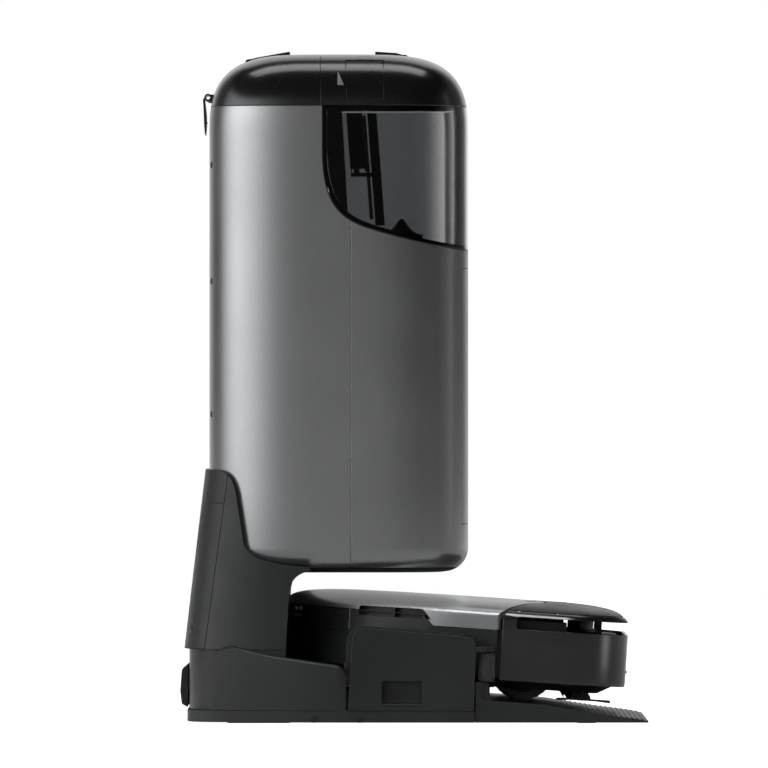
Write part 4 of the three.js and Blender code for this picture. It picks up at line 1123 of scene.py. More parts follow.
inlay = [(-58, 657.4), (-39, 657.4), (-41.5, 660.6), (-56, 660.6)]
pointer = [(-75, 631), (-68.5, 631), (-74.2, 644), (-74.8, 644)]
lid_patch("latch_inlay", inlay, LIGHT_PLASTIC, "clean_lid", "gloss_black", 0.35)
lid_patch("alignment_mark", pointer, LIGHT_PLASTIC, "clean_lid", "gloss_black", 0.2)
dress("dirty_tank", SMOKE, 0.4)
dress("dirty_float", CARD, 0.6)
dress("tower_bottom_cover", MATTE, 0.4)
dress("tower_deck", MATTE, 0.5)

# %% [markdown]
# ## Inside the tower
# Behind the door hang the dust bag and the machinery. They show only with the door open or a tank lifted off,
# but they are what the dock is for: a card collar and a slack fleece bag, a turned impeller in its housing,
# two pumps and a control board.

# %% Machinery
dress("dust_duct", MATTE, 0.6)
dress("motor_housing", MATTE, 0.8)
dress("motor_impeller", STEEL, 0.3)
dress("clean_pump", SATIN, 0.6)
dress("dirty_pump", SATIN, 0.6)
dress("control_board", BOARD, 0.2)


def dust_bag():
    """A fleece bag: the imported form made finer, then pinched into soft vertical folds."""
    low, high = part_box("dust_bag")
    middle = (low + high) / 2
    half = (high - low) / 2
    layers = []
    for i in range(33):
        t = i / 32
        z = low.z + 0.001 + (high.z - low.z - 0.002) * t
        end = 1 - abs(2 * t - 1) ** 5
        ring = []
        for k in range(120):
            angle = math.tau * k / 120
            fold = 0.022 * math.sin(9 * angle + 1.2 * math.sin(6 * t)) + 0.012 * math.sin(17 * angle + 9 * t)
            reach = (0.62 + 0.35 * end ** 0.5) * (1 + fold * (0.4 + 1.2 * (1 - end)) - 0.03)
            x = middle.x + half.x * reach * math.cos(angle)
            y = middle.y + half.y * reach * math.sin(angle)
            ring.append((x / MM, y / MM))
        layers.append((z / MM, ring))
    return loft(layers)


bag = piece("fleece_dust_bag", dust_bag(), CARD, "dock", "bag_paper", ["dust_bag"], 0, angle=math.radians(70))
collar = cut(box(-95.6, -93.6, 8, 72, 212, 280), box(-97, -92, 24, 56, 233, 257))
piece("bag_collar_card", collar, CARD, "dock", "bag_paper", edge=0.4)


# %% [markdown]
# ## Rear column
# The column grows out of the base and wraps the tower's rear corner like a cup. It is a stack of the tower's
# own plan, leaning forward as it rises, trimmed by a side outline whose front edge sweeps round the garage.
# Its rear third is a separate cover with a hairline parting, louvres and four screws.


# %% Column
PLINTH_Z = 13
FOOT_HEIGHTS = [154, 158, 164, 173]
SEAT_DROP = 0.6


def column_size(z):
    return TOWER["a"] + 4 + (250 - z) * 0.119, TOWER["b"] + 3 + (250 - z) * 0.02


def column_form(grow):
    foot = superellipse(149 + grow, 178 + grow)
    layers = [(PLINTH_Z + 0.3, foot), (72.7, foot)]
    for z in (73, 150, 250.6):
        a, b = column_size(z)
        layers.append((z, superellipse(a + grow, b + grow)))
    cup = [(-260, PLINTH_Z), (-129 + grow, PLINTH_Z), (-123 + grow, 128)]
    cup += bezier((-123 + grow, 128), (-121, 148), (-102, 150.4), steps=18)[1:]
    cup += bezier((-102, 154.6 + grow), (-165, 157), (-168, 180 + grow), steps=30)
    cup += bezier((-174.5 + grow, 222), (-178, 250.6 + grow), (-196, 250.6 + grow), steps=18)
    cup += [(-260, 250.6 + grow)]
    return common(loft(layers), prism(cup, -FAR, FAR))


def seam_x(z):
    return -212 + (z - 33) * 27 / 200


def rear_region(shift, z0, z1):
    return prism([(-FAR, z0), (seam_x(z0) + shift, z0), (seam_x(z1) + shift, z1), (-FAR, z1)], -FAR, FAR)


def cavity():
    layers = []
    for z in (8, 72, 146):
        deep, wide = column_size(max(z, 115))[0], column_size(z)[1]
        layers.append((z, superellipse(deep - 5, wide - 5)))
    side = [(-260, 8), (-142, 8), (-139, 136), (-144, 145), (-260, 145)]
    return common(loft(layers), prism(side, -FAR, FAR))


seat_heights = [149, 150, 151.5] + FOOT_HEIGHTS + [270]
seat = tower_form([z - SEAT_DROP for z in seat_heights], -0.5, SEAT_DROP)
robot_recess = rod("z", (40, 0, 60), ROBOT["r"] + 5, 170, 220)
duct_hole = box(-181, -151, 19, 61, 100, 170)
port = box(-150, -120, 18, 62, 62, 92)
contact_recess = box(-146, -120, -71, -15, 51, 69)
column = cut(column_form(0), cavity(), seat, robot_recess, duct_hole, port, contact_recess)
front_part = cut(column, rear_region(GAP / 2, 73.2, 260))
piece("column_shell", front_part, SATIN, "dock", "satin_black", ["stand_column"], 1.0)
louvres = [box(-260, -150, -46, 46, z, z + 2.2) for z in range(150, 200, 6)]
louvre_depth = common(column_form(-1.8), box(-260, -150, -60, 60, 140, 210))
slots = [cut(slot, louvre_depth) for slot in louvres]
parting = cut(box(-260, -150, -FAR, FAR, 217.3, 217.9), column_form(-0.8))
screw_slot = box(-206.4, -203.6, -FAR, -150, 233, 240)
rear_part = common(column, rear_region(-GAP / 2, 73.6, 260))
cover = cut(rear_part, parting, *slots, cut(screw_slot, column_form(-2.5)))
piece("rear_cover", cover, SATIN, "dock", "satin_black", ["column_rear_cover"], 0.6)
cover_screws = []
for z in (92, 226):
    a, b = column_size(z)
    for y in (-120, 120):
        x = TOWER["x"] - a * (1 - (abs(y) / b) ** TOWER["power"]) ** (1 / TOWER["power"])
        cover_screws.append(((x, y, z), plan_normal(x, y, a, b)))
screws("rear_cover_screws", cover_screws, PIANO, "dock", "gloss_black", 1.0)
print("column", len(front_part.polygons), "cover", len(cover.polygons))

# %% [markdown]
# ## Base, arms and wings
# The plinth flares from the column to the side wings. Each arm swells out of the column and falls towards its
# wing; it is swept along its plan curve with a section that is round at the top, so that light rolls over its
# edge. The wings are rounded plates with a recessed grip and a darker backing that stands behind the edge.


# %% Base
SIDE_Y = 196


def base_plan(inset):
    y = SIDE_Y - 1 - inset
    rear = -224 + inset
    half = [(60 - inset, y), (-66, y)]
    half += bezier((-66, y), (-150, 188 - inset), (-198, 172 - inset), steps=14)[1:]
    half += bezier((-198, 172 - inset), (rear, 162 - inset), (rear, 120), steps=14)[1:]
    return half + [(x, -y) for x, y in reversed(half)]


def sloped(mesh):
    """Carries a solid made in the parked robot's frame into the dock's frame."""
    mesh.transform(PARKED)
    return mesh


bed = common(sloped(box(-166, 19, -178, 178, -60, -1.2)), box(-123, 59.6, -178, 178, 5, 60))
bed_room = common(sloped(box(-170, 20, -175, 175, -60, -12.2)), box(-120, 56.6, -178, 178, -5, 60))
wash_recess = sloped(box(-158.4, -61.6, -140.4, 140.4, -8.6, 5))
base_solid = join(slab(base_plan(0), 1.5, PLINTH_Z), bed)
base_room = join(slab(base_plan(WALL), -5, PLINTH_Z - WALL), bed_room)
base = cut(base_solid, base_room, wash_recess)
piece("plinth", base, SATIN, "dock", "satin_black", ["base_tray"], 1.2)
plugs = []
for x, y in ((-98, 192.3), (-53, 195)):
    for side_sign in (-1, 1):
        plugs.append(rod("y", (x, side_sign * (y - 1.2), 4.6), 3.4, 4, 32, 0.5))
piece("plinth_plugs", join(*plugs), MATTE, "dock", "matte_black", edge=0.2)
dress("wash_tray", MATTE, 0.6)
dress("rear_foot_pad", RUBBER, 0.8)
dress("front_foot_pad", RUBBER, 0.8)
gap_seals = [box(-68.5, -60.5, y, y + 6, 40, 60.5) for y in (-184, 178)]
piece("wing_gap_seals", join(*gap_seals), RUBBER, "dock", "rubber", edge=0.4)
dress("charge_contacts", BRASS, 0.4)


def arm(side_sign):
    """Rings of a rounded section swept along the arm's plan."""
    outer = bezier((-66.5, 195), (-150, 189), (-199, 170), steps=60)
    inner = bezier((-66.5, 187), (-150, 181), (-192, 164), steps=60)
    tops = [(-200, 68), (-190, 75.6), (-182, 77.2), (-147, 69), (-92, 60.5), (-64, 57)]

    def top_at(x):
        for (x0, z0), (x1, z1) in zip(tops, tops[1:]):
            if x <= x1:
                return z0 + (z1 - z0) * max(x - x0, 0) / (x1 - x0)
        return tops[-1][1]

    rings = []
    for i, ((ox, oy), (ix, iy)) in enumerate(zip(outer, inner)):
        height = top_at(ox)
        end = min(i / 3.5, 1)
        height -= 7 * (1 - math.sin(math.pi / 2 * end)) ** 1.5
        ring = []
        steps = 10
        for k in range(steps + 1):
            a = math.pi * k / steps
            across = (1 + math.cos(a)) / 2
            x, y = ix + (ox - ix) * across, iy + (oy - iy) * across
            ring.append((x, side_sign * y, height - 3.6 + 3.6 * math.sin(a)))
        ring.insert(0, (ox, side_sign * oy, PLINTH_Z + 0.3))
        ring.append((ix, side_sign * iy, PLINTH_Z + 0.3))
        rings.append(ring)
    count = len(rings[0])
    points = [p for ring in rings for p in ring]
    faces = []
    for r in range(len(rings) - 1):
        for k in range(count):
            n = (k + 1) % count
            faces.append((r * count + k, r * count + n, (r + 1) * count + n, (r + 1) * count + k))
    faces.append(tuple(reversed(range(count))))
    faces.append(tuple(range((len(rings) - 1) * count, len(rings) * count)))
    made = clean(mesh_of(points, faces))
    if side_sign > 0:
        made.flip_normals()
    return cut(made, column_form(0.35))


for side_name, side_sign in SIDES:
    swept = arm(side_sign)
    piece(side_name + "_arm", swept, SATIN, "dock", "satin_black", [side_name + "_base_fairing"], 0.4)


def across(side_sign, low, high):
    return (low, high) if side_sign > 0 else (-high, -low)


def wing(side_sign):
    outline = [(-64.5, PLINTH_Z + 0.3), (59.6, PLINTH_Z + 0.3), (61.8, 76)]
    outline += bezier((61.8, 76), (62, 85.4), (52, 86.2), steps=10)[1:]
    outline += bezier((-48, 94.8), (-59.6, 95.6), (-60.2, 83), steps=10)
    plate = prism(outline, *across(side_sign, 186, SIDE_Y))
    backing = [(-60, 60), (-66.6, 62), (-66.2, 80)]
    backing += bezier((-66.2, 80), (-64.8, 96.4), (-49, 96.8), steps=12)[1:]
    backing += [(50, 88.6), (50, 60)]
    plate = join(plate, prism(backing, *across(side_sign, 179, 190.5)))
    inside = [(-58, 10), (56, 10), (58, 74), (50, 80), (-46, 88), (-54, 82)]
    hollow = prism(inside, *across(side_sign, 170, 192.5))
    block = box(-34.3, 11.8, *across(side_sign, 183, 195), 14.3, 45.6)
    cap = join(box(58, 72, *across(side_sign, 182, 195), 71, 76),
               rod("z", (72, side_sign * 183, 73.5), 9.5, 5, 48, 1))
    pocket = [(-31.3, 18.6), (-30, 17.3), (7.5, 17.3), (8.8, 18.6),
              (8.8, 41.3), (7.5, 42.6), (-30, 42.6), (-31.3, 41.3)]
    whole = join(cut(plate, hollow), block, cap)
    ledge = prism([(-33, 16), (10, 16), (10, 22.5), (-33, 22.5)], *across(side_sign, 185, 186.5))
    return join(cut(whole, prism(pocket, *across(side_sign, 185, 210))), ledge)


for side_name, side_sign in SIDES:
    piece(side_name + "_wing", wing(side_sign), SATIN, "dock", "satin_black", [side_name + "_side_wing"], 1.1)
    ledge_profile = [(-31.2, 17.4), (8.7, 17.4), (8.7, 20.4), (-31.2, 20.4)]
    slope = prism(ledge_profile, *across(side_sign, 186.6, 195.2))
    for vertex in slope.vertices:
        if vertex.co.z > 0.019:
            vertex.co.z -= (abs(vertex.co.y) - 0.1866) * 0.22 - 0.0015
    piece(side_name + "_grip_ledge", slope, SATIN, "dock", "satin_black", edge=0.6)
    roller = [(6.5, -14.2), (7.6, -13.6), (8.3, -12), (8.0, -4),
              (8.0, 4), (8.3, 12), (7.6, 13.6), (6.5, 14.2)]
    mesh = lathe("z", (72, side_sign * 183, 56), roller, 64)
    piece(side_name + "_guide_roller", mesh, RUBBER, "roller_" + side_name, "rubber",
          ["guide_roller_" + side_name], 0)

# %% [markdown]
# ## Ramp
# The ramp is one moulding with round bars across it for the wheels to climb. The bars follow the profile at
# an even pitch, so a small tree lays them: the profile curve is resampled and a bar stands on every point.


# %% Ramp
RAMP_TOP = [(60.4, 23.6), (100, 21.2), (133, 18.4), (154, 14.8), (182, 10.4), (224, 4.8), (232, 2.6)]


def ramp_top(steps=60):
    """The ramp's profile as a smooth curve through its easy slopes."""
    xs = [x for x, _ in RAMP_TOP]
    made = []
    for i in range(steps + 1):
        x = 60.4 + (232 - 60.4) * i / steps
        total = weight_sum = 0.0
        for k in range(-6, 7):
            probe = min(max(x + k * 1.6, xs[0]), xs[-1])
            for (x0, z0), (x1, z1) in zip(RAMP_TOP, RAMP_TOP[1:]):
                if probe <= x1:
                    z = z0 + (z1 - z0) * (probe - x0) / (x1 - x0)
                    break
            weight = math.exp(-(k / 3.5) ** 2)
            total += z * weight
            weight_sum += weight
        made.append((x, total / weight_sum))
    return made


profile = ramp_top()
body = prism([(60.4, 1.5)] + profile + [(232, 1.5)], -192, 192)
under = [(66, -4)] + [(max(x, 66), z - WALL) for x, z in RAMP_TOP[:5]] + [(190, -4)]
pillars = []
for side_sign in (-1, 1):
    pillars.append(box(60.4, 66, side_sign * 188 - 4, side_sign * 188 + 4, 2, 41))
    pillars.append(rod("z", (66, side_sign * 182.5, 21.5), 9.5, 39, 64, 0.8))
ramp = cut(join(cut(body, prism(under, -188, 188)), *pillars), box(-FAR, 61.2, -FAR, FAR, 13.1, 60),
           box(-FAR, 60.4, -FAR, FAR, 0, 60))
piece("ramp_moulding", ramp, SATIN, "dock", "satin_black", ["entry_ramp"], 1.6)


def bar_tree():
    """Stands a bar across the part at even steps along a profile."""
    tree, start, end = new_tree(
        "bars_along_profile", ("Pitch", "Float", 0.005), ("Radius", "Float", 0.0007), ("Width", "Float", 0.37)
    )
    line = node(tree, "GeometryNodeMeshToCurve")
    steps = node(tree, "GeometryNodeResampleCurve", mode="LENGTH")
    lying = node(tree, "GeometryNodeMeshCylinder")
    lying.inputs["Vertices"].default_value = 10
    turn = node(tree, "GeometryNodeTransform")
    turn.inputs["Rotation"].default_value = (math.pi / 2, 0, 0)
    place = node(tree, "GeometryNodeInstanceOnPoints")
    wire(tree, (start, "Geometry", line, "Mesh"), (line, "Curve", steps, "Curve"),
         (start, "Pitch", steps, "Length"), (start, "Radius", lying, "Radius"),
         (start, "Width", lying, "Depth"), (lying, "Mesh", turn, "Geometry"),
         (steps, "Curve", place, "Points"), (turn, "Geometry", place, "Instance"))
    return close_tree(tree, start, end, place, "Instances")


ribbed = [(x, 0, z + 0.1) for x, z in profile if 148 < x < 228]
bars = grown(path_mesh(ribbed), bar_tree(), Pitch=0.005, Radius=0.0008, Width=0.378, Material=SATIN)
piece("ramp_bars", bars, SATIN, "dock", "satin_black", edge=0, angle=math.radians(50))

# %% [markdown]
# ## Cord cover
# Low on the back a cover holds the mains inlet: a recessed block with two contact pins.

# %% Cord cover
dress("power_inlet_cover", SATIN, 1.0)
pins = join(*[rod("x", (-230, y, 34), 1.6, 4.5, 24, 0.5) for y in (-4, 4)])
piece("inlet_pins", pins, STEEL, "dock", "satin_black", edge=0)

# %% [markdown]
# ## Robot body
# Everything on the robot is shaped in its own level frame, then carried into the parked one. The outline is
# a D: a round back, straight sides and rounded front corners. The graphite top shell rolls over at its rim
# and ends at a bowed seam. Ahead of it the nose cap floats over the bumper on posts, with the turret
# between.


# %% Robot solids
def robot_outline(inset, steps=90):
    r = ROBOT["r"] - inset
    corner = max(ROBOT["corner"] - inset, 4)
    cx = ROBOT["front"] - ROBOT["corner"]
    cy = ROBOT["r"] - ROBOT["corner"]

    def arc(x, y, radius, start, stop, count):
        made = []
        for i in range(count + 1):
            angle = start + (stop - start) * i / count
            made.append((x + radius * math.cos(angle), y + radius * math.sin(angle)))
        return made

    half = math.pi / 2
    return (arc(0, 0, r, half, 3 * half, steps) + arc(cx, -cy, corner, -half, 0, steps // 3)
            + arc(cx, cy, corner, 0, half, steps // 3))


def robot_form(heights, inset=0.0, drop=0.0):
    layers = []
    for z in heights:
        foot = fillet_inset(z, ROBOT["bottom"], 12)
        dome = dome_inset(z + drop, ROBOT["dome"], ROBOT["top"], ROBOT["inset"])
        layers.append((z, robot_outline(foot + dome + inset)))
    return loft(layers)


def seam_region(shift, z0, z1, side):
    line = []
    steps = 60
    for i in range(steps + 1):
        y = -ROBOT["r"] + 2 * ROBOT["r"] * i / steps
        line.append((SEAM_SIDE_X + SEAM_BOW * (1 - (y / ROBOT["r"]) ** 2) ** 0.7 + shift, y))
    line = [(line[0][0], -FAR)] + line + [(line[0][0], FAR)]
    far = FAR if side == "front" else -FAR
    return slab(line + [(far, FAR), (far, -FAR)], z0, z1)


def shell_region(drop):
    edge = [(-300, 79), (-36, 79), (-25, 68), (300, 68)]
    return prism([(x, z + drop) for x, z in edge] + [(300, 200), (-300, 200)], -FAR, FAR)


def robot_dome(low, high, steps=26):
    return dome_heights(ROBOT["dome"], ROBOT["top"], low, high, steps)


def robot_piece(name, mesh, material, body, slot, replaces=(), edge=0.5, **rest):
    mesh.transform(PARKED)
    return piece(name, mesh, material, body, slot, replaces, edge, **rest)


def vent(side_sign):
    """The air slot: rounded at its rear end, sloping down with the shell's step at the front."""
    outline = [(-99, 74), (-99, 80.5)] + bezier((-99, 80.5), (-99, 83), (-96, 83.2), steps=6)[1:]
    outline += [(-40, 84)] + bezier((-40, 84), (-35, 84), (-32.5, 80), steps=6)[1:] + [(-27.6, 74)]
    return prism(outline, *across(side_sign, 134, 210))


vents = [vent(-1), vent(1)]
outer = robot_form([60, 70] + robot_dome(78, ROBOT["top"]))
top_room = [59] + [z for z in robot_dome(78, ROBOT["top"]) if z < 92.4] + [92.6]
inner = robot_form(top_room, WALL, 3)
top_shell = cut(outer, inner, *vents, box(66, 78.5, -16, 16, 80, 100))
top_shell = common(top_shell, seam_region(0, 50, 120, "rear"), shell_region(0.3))
robot_piece("robot_shell", top_shell, ROBOT_PAINT, "robot", "graphite", ["robot_top_shell"], 0.5)

nose_outer = common(robot_form([50, 70] + robot_dome(78, ROBOT["top"])), seam_region(2.4, 88.4, 120, "front"))
nose_room = [49] + [z for z in robot_dome(78, ROBOT["top"]) if z < 92.6] + [93]
nose_inner = common(robot_form(nose_room, WALL, 3), box(90, FAR, -FAR, FAR, 0, 93))
housing = common(box(63, 97, -96, 96, 68.4, 90), robot_form([60, 94], 14))
posts = [box(x, x + 2.4, s * 60 - 4, s * 60 + 4, 68.4, 92.5) for s in (-1, 1) for x in (137, 140.6)]
dish = cut(rod("z", (124, 0, 87.4), 24, 12, 72), rod("z", (124, 0, 84), 21, 12, 72))
nose = join(cut(nose_outer, nose_inner), cut(housing, box(60, 80, -18, 18, 86, 95)), *posts, dish)
robot_piece("nose_cap", nose, SATIN, "robot", "satin_black", ["robot_nose_cap"], 0.6)

ring_heights = [19, 20, 23, 60, 78, 80, 82.4, 84.6, 86.4, 87.6]
ring = cut(robot_form(ring_heights), robot_form([18] + ring_heights[1:-1] + [88.6], WALL))
slot_end = [(57, 74.6), (57.6, 72), (59.6, 70.6), (62, 70.3), (FAR, 70.3),
            (FAR, 82.6), (62, 82.6), (59.6, 82.3), (57.6, 80.9), (57, 78.4)]
bumper = cut(common(ring, box(43.6, FAR, -FAR, FAR, 0, 120)), prism(slot_end, -FAR, FAR),
             seam_region(5.6, 60, 120, "rear"))
robot_piece("bumper_ring", bumper, BUMPER, "bumper", "satin_black", ["robot_bumper"], 0.7)
nub_line = [(169.5, y, 33) for y in range(-60, 61, 4)]
nub_mesh = grown(path_mesh(nub_line), BEAD, Radius=1.6 * MM, Sides=12, Material=RUBBER)
robot_piece("bumper_lip", nub_mesh, RUBBER, "bumper", "rubber", edge=0, angle=math.radians(60))
key = box(66.6, 77.9, -15.4, 15.4, 88, 96.6)
robot_piece("power_key", key, PIANO, "power_button", "gloss_black", ["robot_button"], 1.2)

for side_name, side_sign in SIDES:
    liner = common(cut(slab(robot_outline(9), 73, 85), slab(robot_outline(11), 70, 90)),
                   box(-103, -24, *across(side_sign, 100, 200), 60, 100))
    fin = common(cut(slab(robot_outline(0.8), 78.0, 78.9), slab(robot_outline(9), 70, 90)),
                 box(-98.6, -29.5, *across(side_sign, 100, 200), 60, 100))
    rib = common(cut(slab(robot_outline(0.6), 74.4, 83.6), slab(robot_outline(9), 70, 90)),
                 box(-65, -63.6, *across(side_sign, 100, 200), 60, 100))
    robot_piece(side_name + "_vent_fins", join(liner, fin, rib), SATIN, "robot", "matte_black", edge=0.15)

# %% Robot underside and bin
dress("robot_chassis", SATIN, 0.8)
back = robot_form([24, 30, 60, 78.4])
bin_outer = common(back, box(-FAR, -108.4, -FAR, FAR, 0, 120))
bin_inner = common(robot_form([27, 30, 90], WALL), box(-FAR, -111.4, -FAR, FAR, 0, 120))
grip_slot = cut(common(slab(robot_outline(-3), 60, 63.4), box(-FAR, -120, -46, 46, 0, 120)),
                slab(robot_outline(2), 50, 70))
groove = cut(common(slab(robot_outline(-2), 56, 56.7), box(-FAR, -112, -FAR, FAR, 0, 120)),
             slab(robot_outline(0.7), 50, 60))
robot_piece("dust_bin_shell", cut(bin_outer, bin_inner, grip_slot, groove), SATIN, "robot", "matte_black",
            ["robot_dust_bin"], 0.8)
pads = []
for angle in (math.radians(200.5), math.radians(204)):
    for z, tall in ((73.5, 3.4), (67.5, 1.4)):
        pad = box(171, 173.2, -2.6, 2.6, z, z + tall)
        pad.transform(Matrix.Rotation(angle, 4, "Z"))
        pads.append(pad)
robot_piece("charging_pads", join(*pads), STEEL, "robot", "contact_metal", edge=0.3)

turret = join(rod("z", (124, 0, 70), 16.5, 3, 72, 0.6),
              cut(rod("z", (124, 0, 77.5), 14.5, 15, 72, 0.8), box(132, 154, -9, 9, 73, 82)))
robot_piece("ranging_turret", turret, PIANO, "turret", "gloss_black", ["lidar_turret"], 0.3)
dress("robot_battery", CARD, 1.0)
dress("robot_fan", SATIN, 0.8)
for side_name in ("right", "left"):
    dress("wheel_arm_" + side_name, SATIN, 0.8)

# %% [markdown]
# ## Wheels
# Each drive wheel is a turned hub, lightened by six holes, inside a rubber tyre. The tread is a ring of
# slanting lugs: the scatter tree stands one on each point of two circles.


# %% Wheels
def lug_shape():
    lug = box(-1.5, 1.5, -4.2, 4.2, -1.2, 0.9)
    lug.transform(Matrix.Rotation(math.radians(24), 4, "Z"))
    return lug


LUG = show(lug_shape(), "lug_pattern")
LUG.hide_render = True
WHEEL = {"x": 66, "z": 33, "y": 129}
for side_name, side_sign in SIDES:
    centre = (WHEEL["x"], side_sign * WHEEL["y"], WHEEL["z"])
    tyre_profile = [(25.3, -9.6), (30.4, -9.8), (31.6, -8.6), (32, -6),
                    (32, 6), (31.6, 8.6), (30.4, 9.8), (25.3, 9.6)]
    tyre = cut(lathe("y", centre, tyre_profile, 96), rod("y", centre, 25.2, 40, 96))
    robot_piece(side_name + "_tyre", tyre, RUBBER, "wheel_" + side_name, "rubber",
                ["drive_tyre_" + side_name], 0.3)
    places = []
    for row in (-1, 1):
        for i in range(26):
            angle = math.tau * (i + 0.25 * row) / 26
            direction = Vector((math.cos(angle), 0, math.sin(angle)))
            point = (centre[0] + 32 * direction.x, centre[1] + row * 4.9, centre[2] + 32 * direction.z)
            places.append((point, direction))
    lugs = grown(points_facing(places), SCATTER, Pattern=LUG, Scale=1.0, Material=RUBBER)
    robot_piece(side_name + "_tread", lugs, RUBBER, "wheel_" + side_name, "rubber", edge=0)
    hub_profile = [(3, -9), (22, -9), (24.2, -8.2), (24.5, 0), (24.2, 8.2),
                   (22.6, 9), (21, 7.2), (9, 6.6), (8, 14.6), (2, 15)]
    if side_sign < 0:
        hub_profile = [(radius, -along) for radius, along in reversed(hub_profile)]
    holes = []
    for i in range(6):
        angle = math.tau * i / 6
        middle = (centre[0] + 15 * math.cos(angle), centre[1], centre[2] + 15 * math.sin(angle))
        holes.append(rod("y", middle, 3.6, 40, 28))
    hub = cut(lathe("y", centre, hub_profile, 96), *holes)
    robot_piece(side_name + "_hub", hub, SATIN, "wheel_" + side_name, "matte_black",
                ["drive_hub_" + side_name], 0.3)

skirt = lathe("z", (121, 0, 0), [(9.5, 2.2), (11, 2.6), (16.6, 11), (17, 12.4), (17, 26)], 64)
room = box(110.5, 135.5, -7.8, 7.8, 0, 23.6)
fork = join(skirt, rod("z", (121, 0, 28.5), 20, 5, 72, 0.6), rod("z", (121, 0, 35), 5, 12, 40, 0.6))
fork = join(cut(fork, room), rod("y", (123, 0, 11.6), 2, 20, 28))
robot_piece("caster_housing", fork, SATIN, "caster_swivel", "satin_black", ["caster_fork"], 0.3)
wheel_profile = [(2.4, -7), (9.6, -7), (10.7, -5.8), (11, -3), (10.9, 0),
                 (11, 3), (10.7, 5.8), (9.6, 7), (2.4, 7)]
roll = cut(lathe("y", (123, 0, 11.6), wheel_profile, 72), rod("y", (123, 0, 11.6), 2.4, 30, 28))
robot_piece("caster_roll", roll, RUBBER, "caster_roll", "rubber", ["caster_wheel"], 0)

# %% [markdown]
# ## Brushes and mop
# Bristles are one tapered hair stood on many points: in helical rows round the main brush, in fans at the
# ends of the side brush's arms. The mop pad is felt, so short fibres stand all over its underside and edge.


# %% Brushes
def hair_shape(length, radius):
    return lathe("z", (0, 0, 0), [(radius, 0), (radius * 0.8, length * 0.6), (radius * 0.3, length)], 5)


HAIR = show(hair_shape(6.4, 0.28), "hair_pattern")
HAIR.hide_render = True
BRUSH = {"x": -4, "z": 17, "reach": 84, "twist": 0.9}
dice = random.Random(7)
core_profile = [(5, -92), (8.6, -91), (9.5, -88), (9.5, 88), (8.6, 91), (5, 92)]
core = lathe("y", (BRUSH["x"], 0, BRUSH["z"]), core_profile, 56)


def fin_strip(turn):
    """A rubber fin wound round the core."""
    steps = 60
    points, faces = [], []
    for i in range(steps + 1):
        y = -BRUSH["reach"] + 2 * BRUSH["reach"] * i / steps
        angle = turn + BRUSH["twist"] * (y / BRUSH["reach"])
        for radius, width in ((8.6, 1.3), (16.2, 0.7)):
            for sign in (-1, 1):
                a = angle + sign * width / radius
                points.append((BRUSH["x"] + radius * math.cos(a), y, BRUSH["z"] + radius * math.sin(a)))
    for i in range(steps):
        b = i * 4
        faces += [(b, b + 1, b + 5, b + 4), (b + 1, b + 3, b + 7, b + 5),
                  (b + 3, b + 2, b + 6, b + 7), (b + 2, b, b + 4, b + 6)]
    faces += [(0, 2, 3, 1), (steps * 4, steps * 4 + 1, steps * 4 + 3, steps * 4 + 2)]
    return clean(mesh_of(points, faces))


fins = join(core, *[fin_strip(math.tau * i / 3) for i in range(3)])
robot_piece("main_brush_core", fins, RUBBER, "main_brush", "rubber", ["main_brush"], 0.2)
hairs = []
for row in range(3):
    for i in range(120):
        y = -BRUSH["reach"] + 2 * BRUSH["reach"] * i / 119
        wound = BRUSH["twist"] * (y / BRUSH["reach"])
        angle = math.tau * (row + 0.5) / 3 + wound + dice.uniform(-0.05, 0.05)
        direction = Vector((math.cos(angle), dice.uniform(-0.08, 0.08), math.sin(angle))).normalized()
        hairs.append(((BRUSH["x"] + 9.4 * math.cos(angle), y, BRUSH["z"] + 9.4 * math.sin(angle)), direction))
bristles = grown(points_facing(hairs), SCATTER, Pattern=HAIR, Scale=1.05, Material=RUBBER)
robot_piece("main_brush_bristles", bristles, RUBBER, "main_brush", "rubber", edge=0, angle=math.radians(60))

hub_x, hub_y = 126, -112
hub_line = [(3, 2.8), (8.5, 3), (10, 4.2), (9.4, 7.5), (7, 10.6), (3, 11)]
side_hub = join(lathe("z", (hub_x, hub_y, 0), hub_line, 56), rod("z", (hub_x, hub_y, 15), 4, 12, 40))
side_arms, fan = [], []
for i in range(3):
    turn = math.tau * i / 3 - 0.35
    limb = slab([(3, -2.5), (16, -2.2), (20, -1.3), (20, 1.3), (16, 2.2), (3, 2.5)], 3.0, 4.9)
    limb.transform(Matrix.Rotation(turn, 4, "Z"))
    limb.transform(Matrix.Translation((hub_x * MM, hub_y * MM, 0)))
    side_arms.append(limb)
    for _ in range(46):
        a = turn + dice.uniform(-0.14, 0.14)
        direction = Vector((math.cos(a), math.sin(a), dice.uniform(-0.10, 0.03))).normalized()
        start = (hub_x + 17.5 * math.cos(turn) + dice.uniform(-0.9, 0.9) * -math.sin(turn),
                 hub_y + 17.5 * math.sin(turn) + dice.uniform(-0.9, 0.9) * math.cos(turn),
                 4 + dice.uniform(-0.6, 0.6))
        fan.append((start, direction))
robot_piece("side_brush_hub", join(side_hub, *side_arms), RUBBER, "side_brush", "rubber", ["side_brush"], 0.3)
fan_mesh = grown(points_facing(fan), SCATTER, Pattern=HAIR, Scale=2.05, Material=RUBBER)
robot_piece("side_brush_bristles", fan_mesh, RUBBER, "side_brush", "rubber", edge=0, angle=math.radians(60))


# %% Mop
def mop_plan(inset):
    front = -66 - inset
    back = [(x, y) for x, y in robot_outline(16 + inset) if x < front]
    return back + [(front, -114 + inset), (front, 114 - inset)]


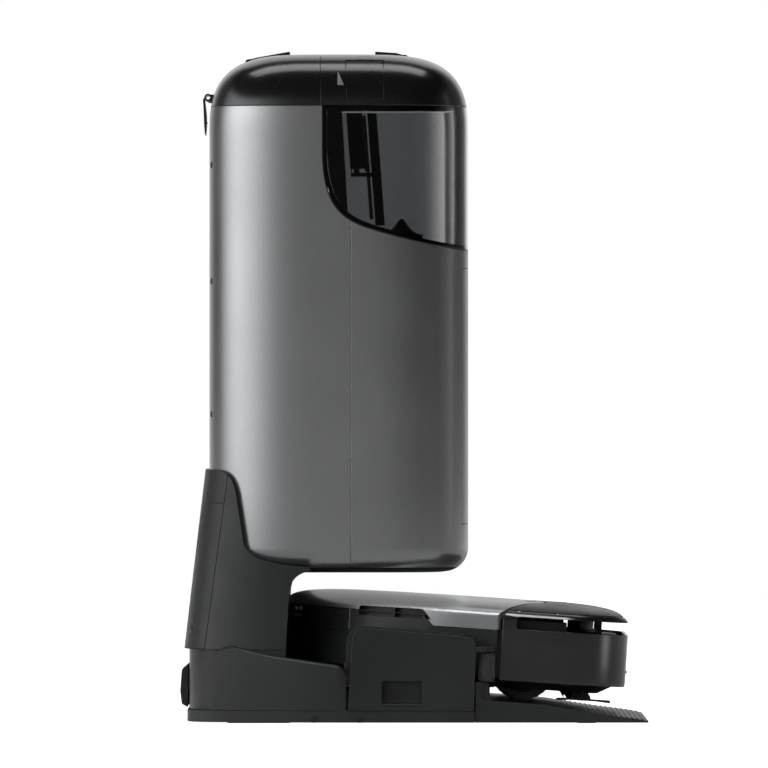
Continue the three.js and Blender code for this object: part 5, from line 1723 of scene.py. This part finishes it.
robot_piece("mop_carrier", slab(mop_plan(2), 5.6, 10), SATIN, "mop", "satin_black", ["mop_plate"], 0.8)
felt = loft([(0.9, mop_plan(3.0)), (1.4, mop_plan(2.1)), (2.6, mop_plan(1.4)), (4.2, mop_plan(1.6)),
             (5.2, mop_plan(3.0))])
pad = robot_piece("mop_felt", felt, FELT, "mop", "mop_fabric", ["mop_pad"], 0, angle=math.radians(80))


def pile_tree():
    """Short fibres scattered over a surface, leaning at random."""
    tree, start, end = new_tree(
        "felt_pile", ("Density", "Float", 200000.0), ("Seed", "Int", 3), ("Pattern", "Object", None)
    )
    spread = node(tree, "GeometryNodeDistributePointsOnFaces")
    info = node(tree, "GeometryNodeObjectInfo")
    place = node(tree, "GeometryNodeInstanceOnPoints")
    lean = node(tree, "FunctionNodeRandomValue", data_type="FLOAT_VECTOR")
    lean.inputs["Min"].default_value = (-0.7, -0.7, -3.1)
    lean.inputs["Max"].default_value = (0.7, 0.7, 3.1)
    tilt = node(tree, "GeometryNodeRotateInstances")
    wire(tree, (start, "Geometry", spread, "Mesh"), (start, "Density", spread, "Density"),
         (start, "Seed", spread, "Seed"), (start, "Pattern", info, "Object"),
         (spread, "Points", place, "Points"), (info, "Geometry", place, "Instance"),
         (spread, "Rotation", place, "Rotation"), (place, "Instances", tilt, "Instances"),
         (lean, "Value", tilt, "Rotation"))
    return close_tree(tree, start, end, tilt, "Instances")


FIBRE = show(hair_shape(1.3, 0.16), "fibre_pattern")
FIBRE.hide_render = True
under_felt = loft([(0.95, mop_plan(2.4)), (1.4, mop_plan(1.25)), (3.6, mop_plan(0.5))])
bm = bmesh.new()
bm.from_mesh(clean(under_felt))
bmesh.ops.delete(bm, geom=[f for f in bm.faces if f.normal.z > 0.9], context="FACES")
bm.to_mesh(under_felt)
bm.free()
pile = grown(under_felt, pile_tree(), Density=350000.0, Seed=3, Pattern=FIBRE, Material=FELT)
robot_piece("mop_pile", pile, FELT, "mop", "mop_fabric", edge=0, angle=math.radians(60))
print("pile", len(pile.polygons))
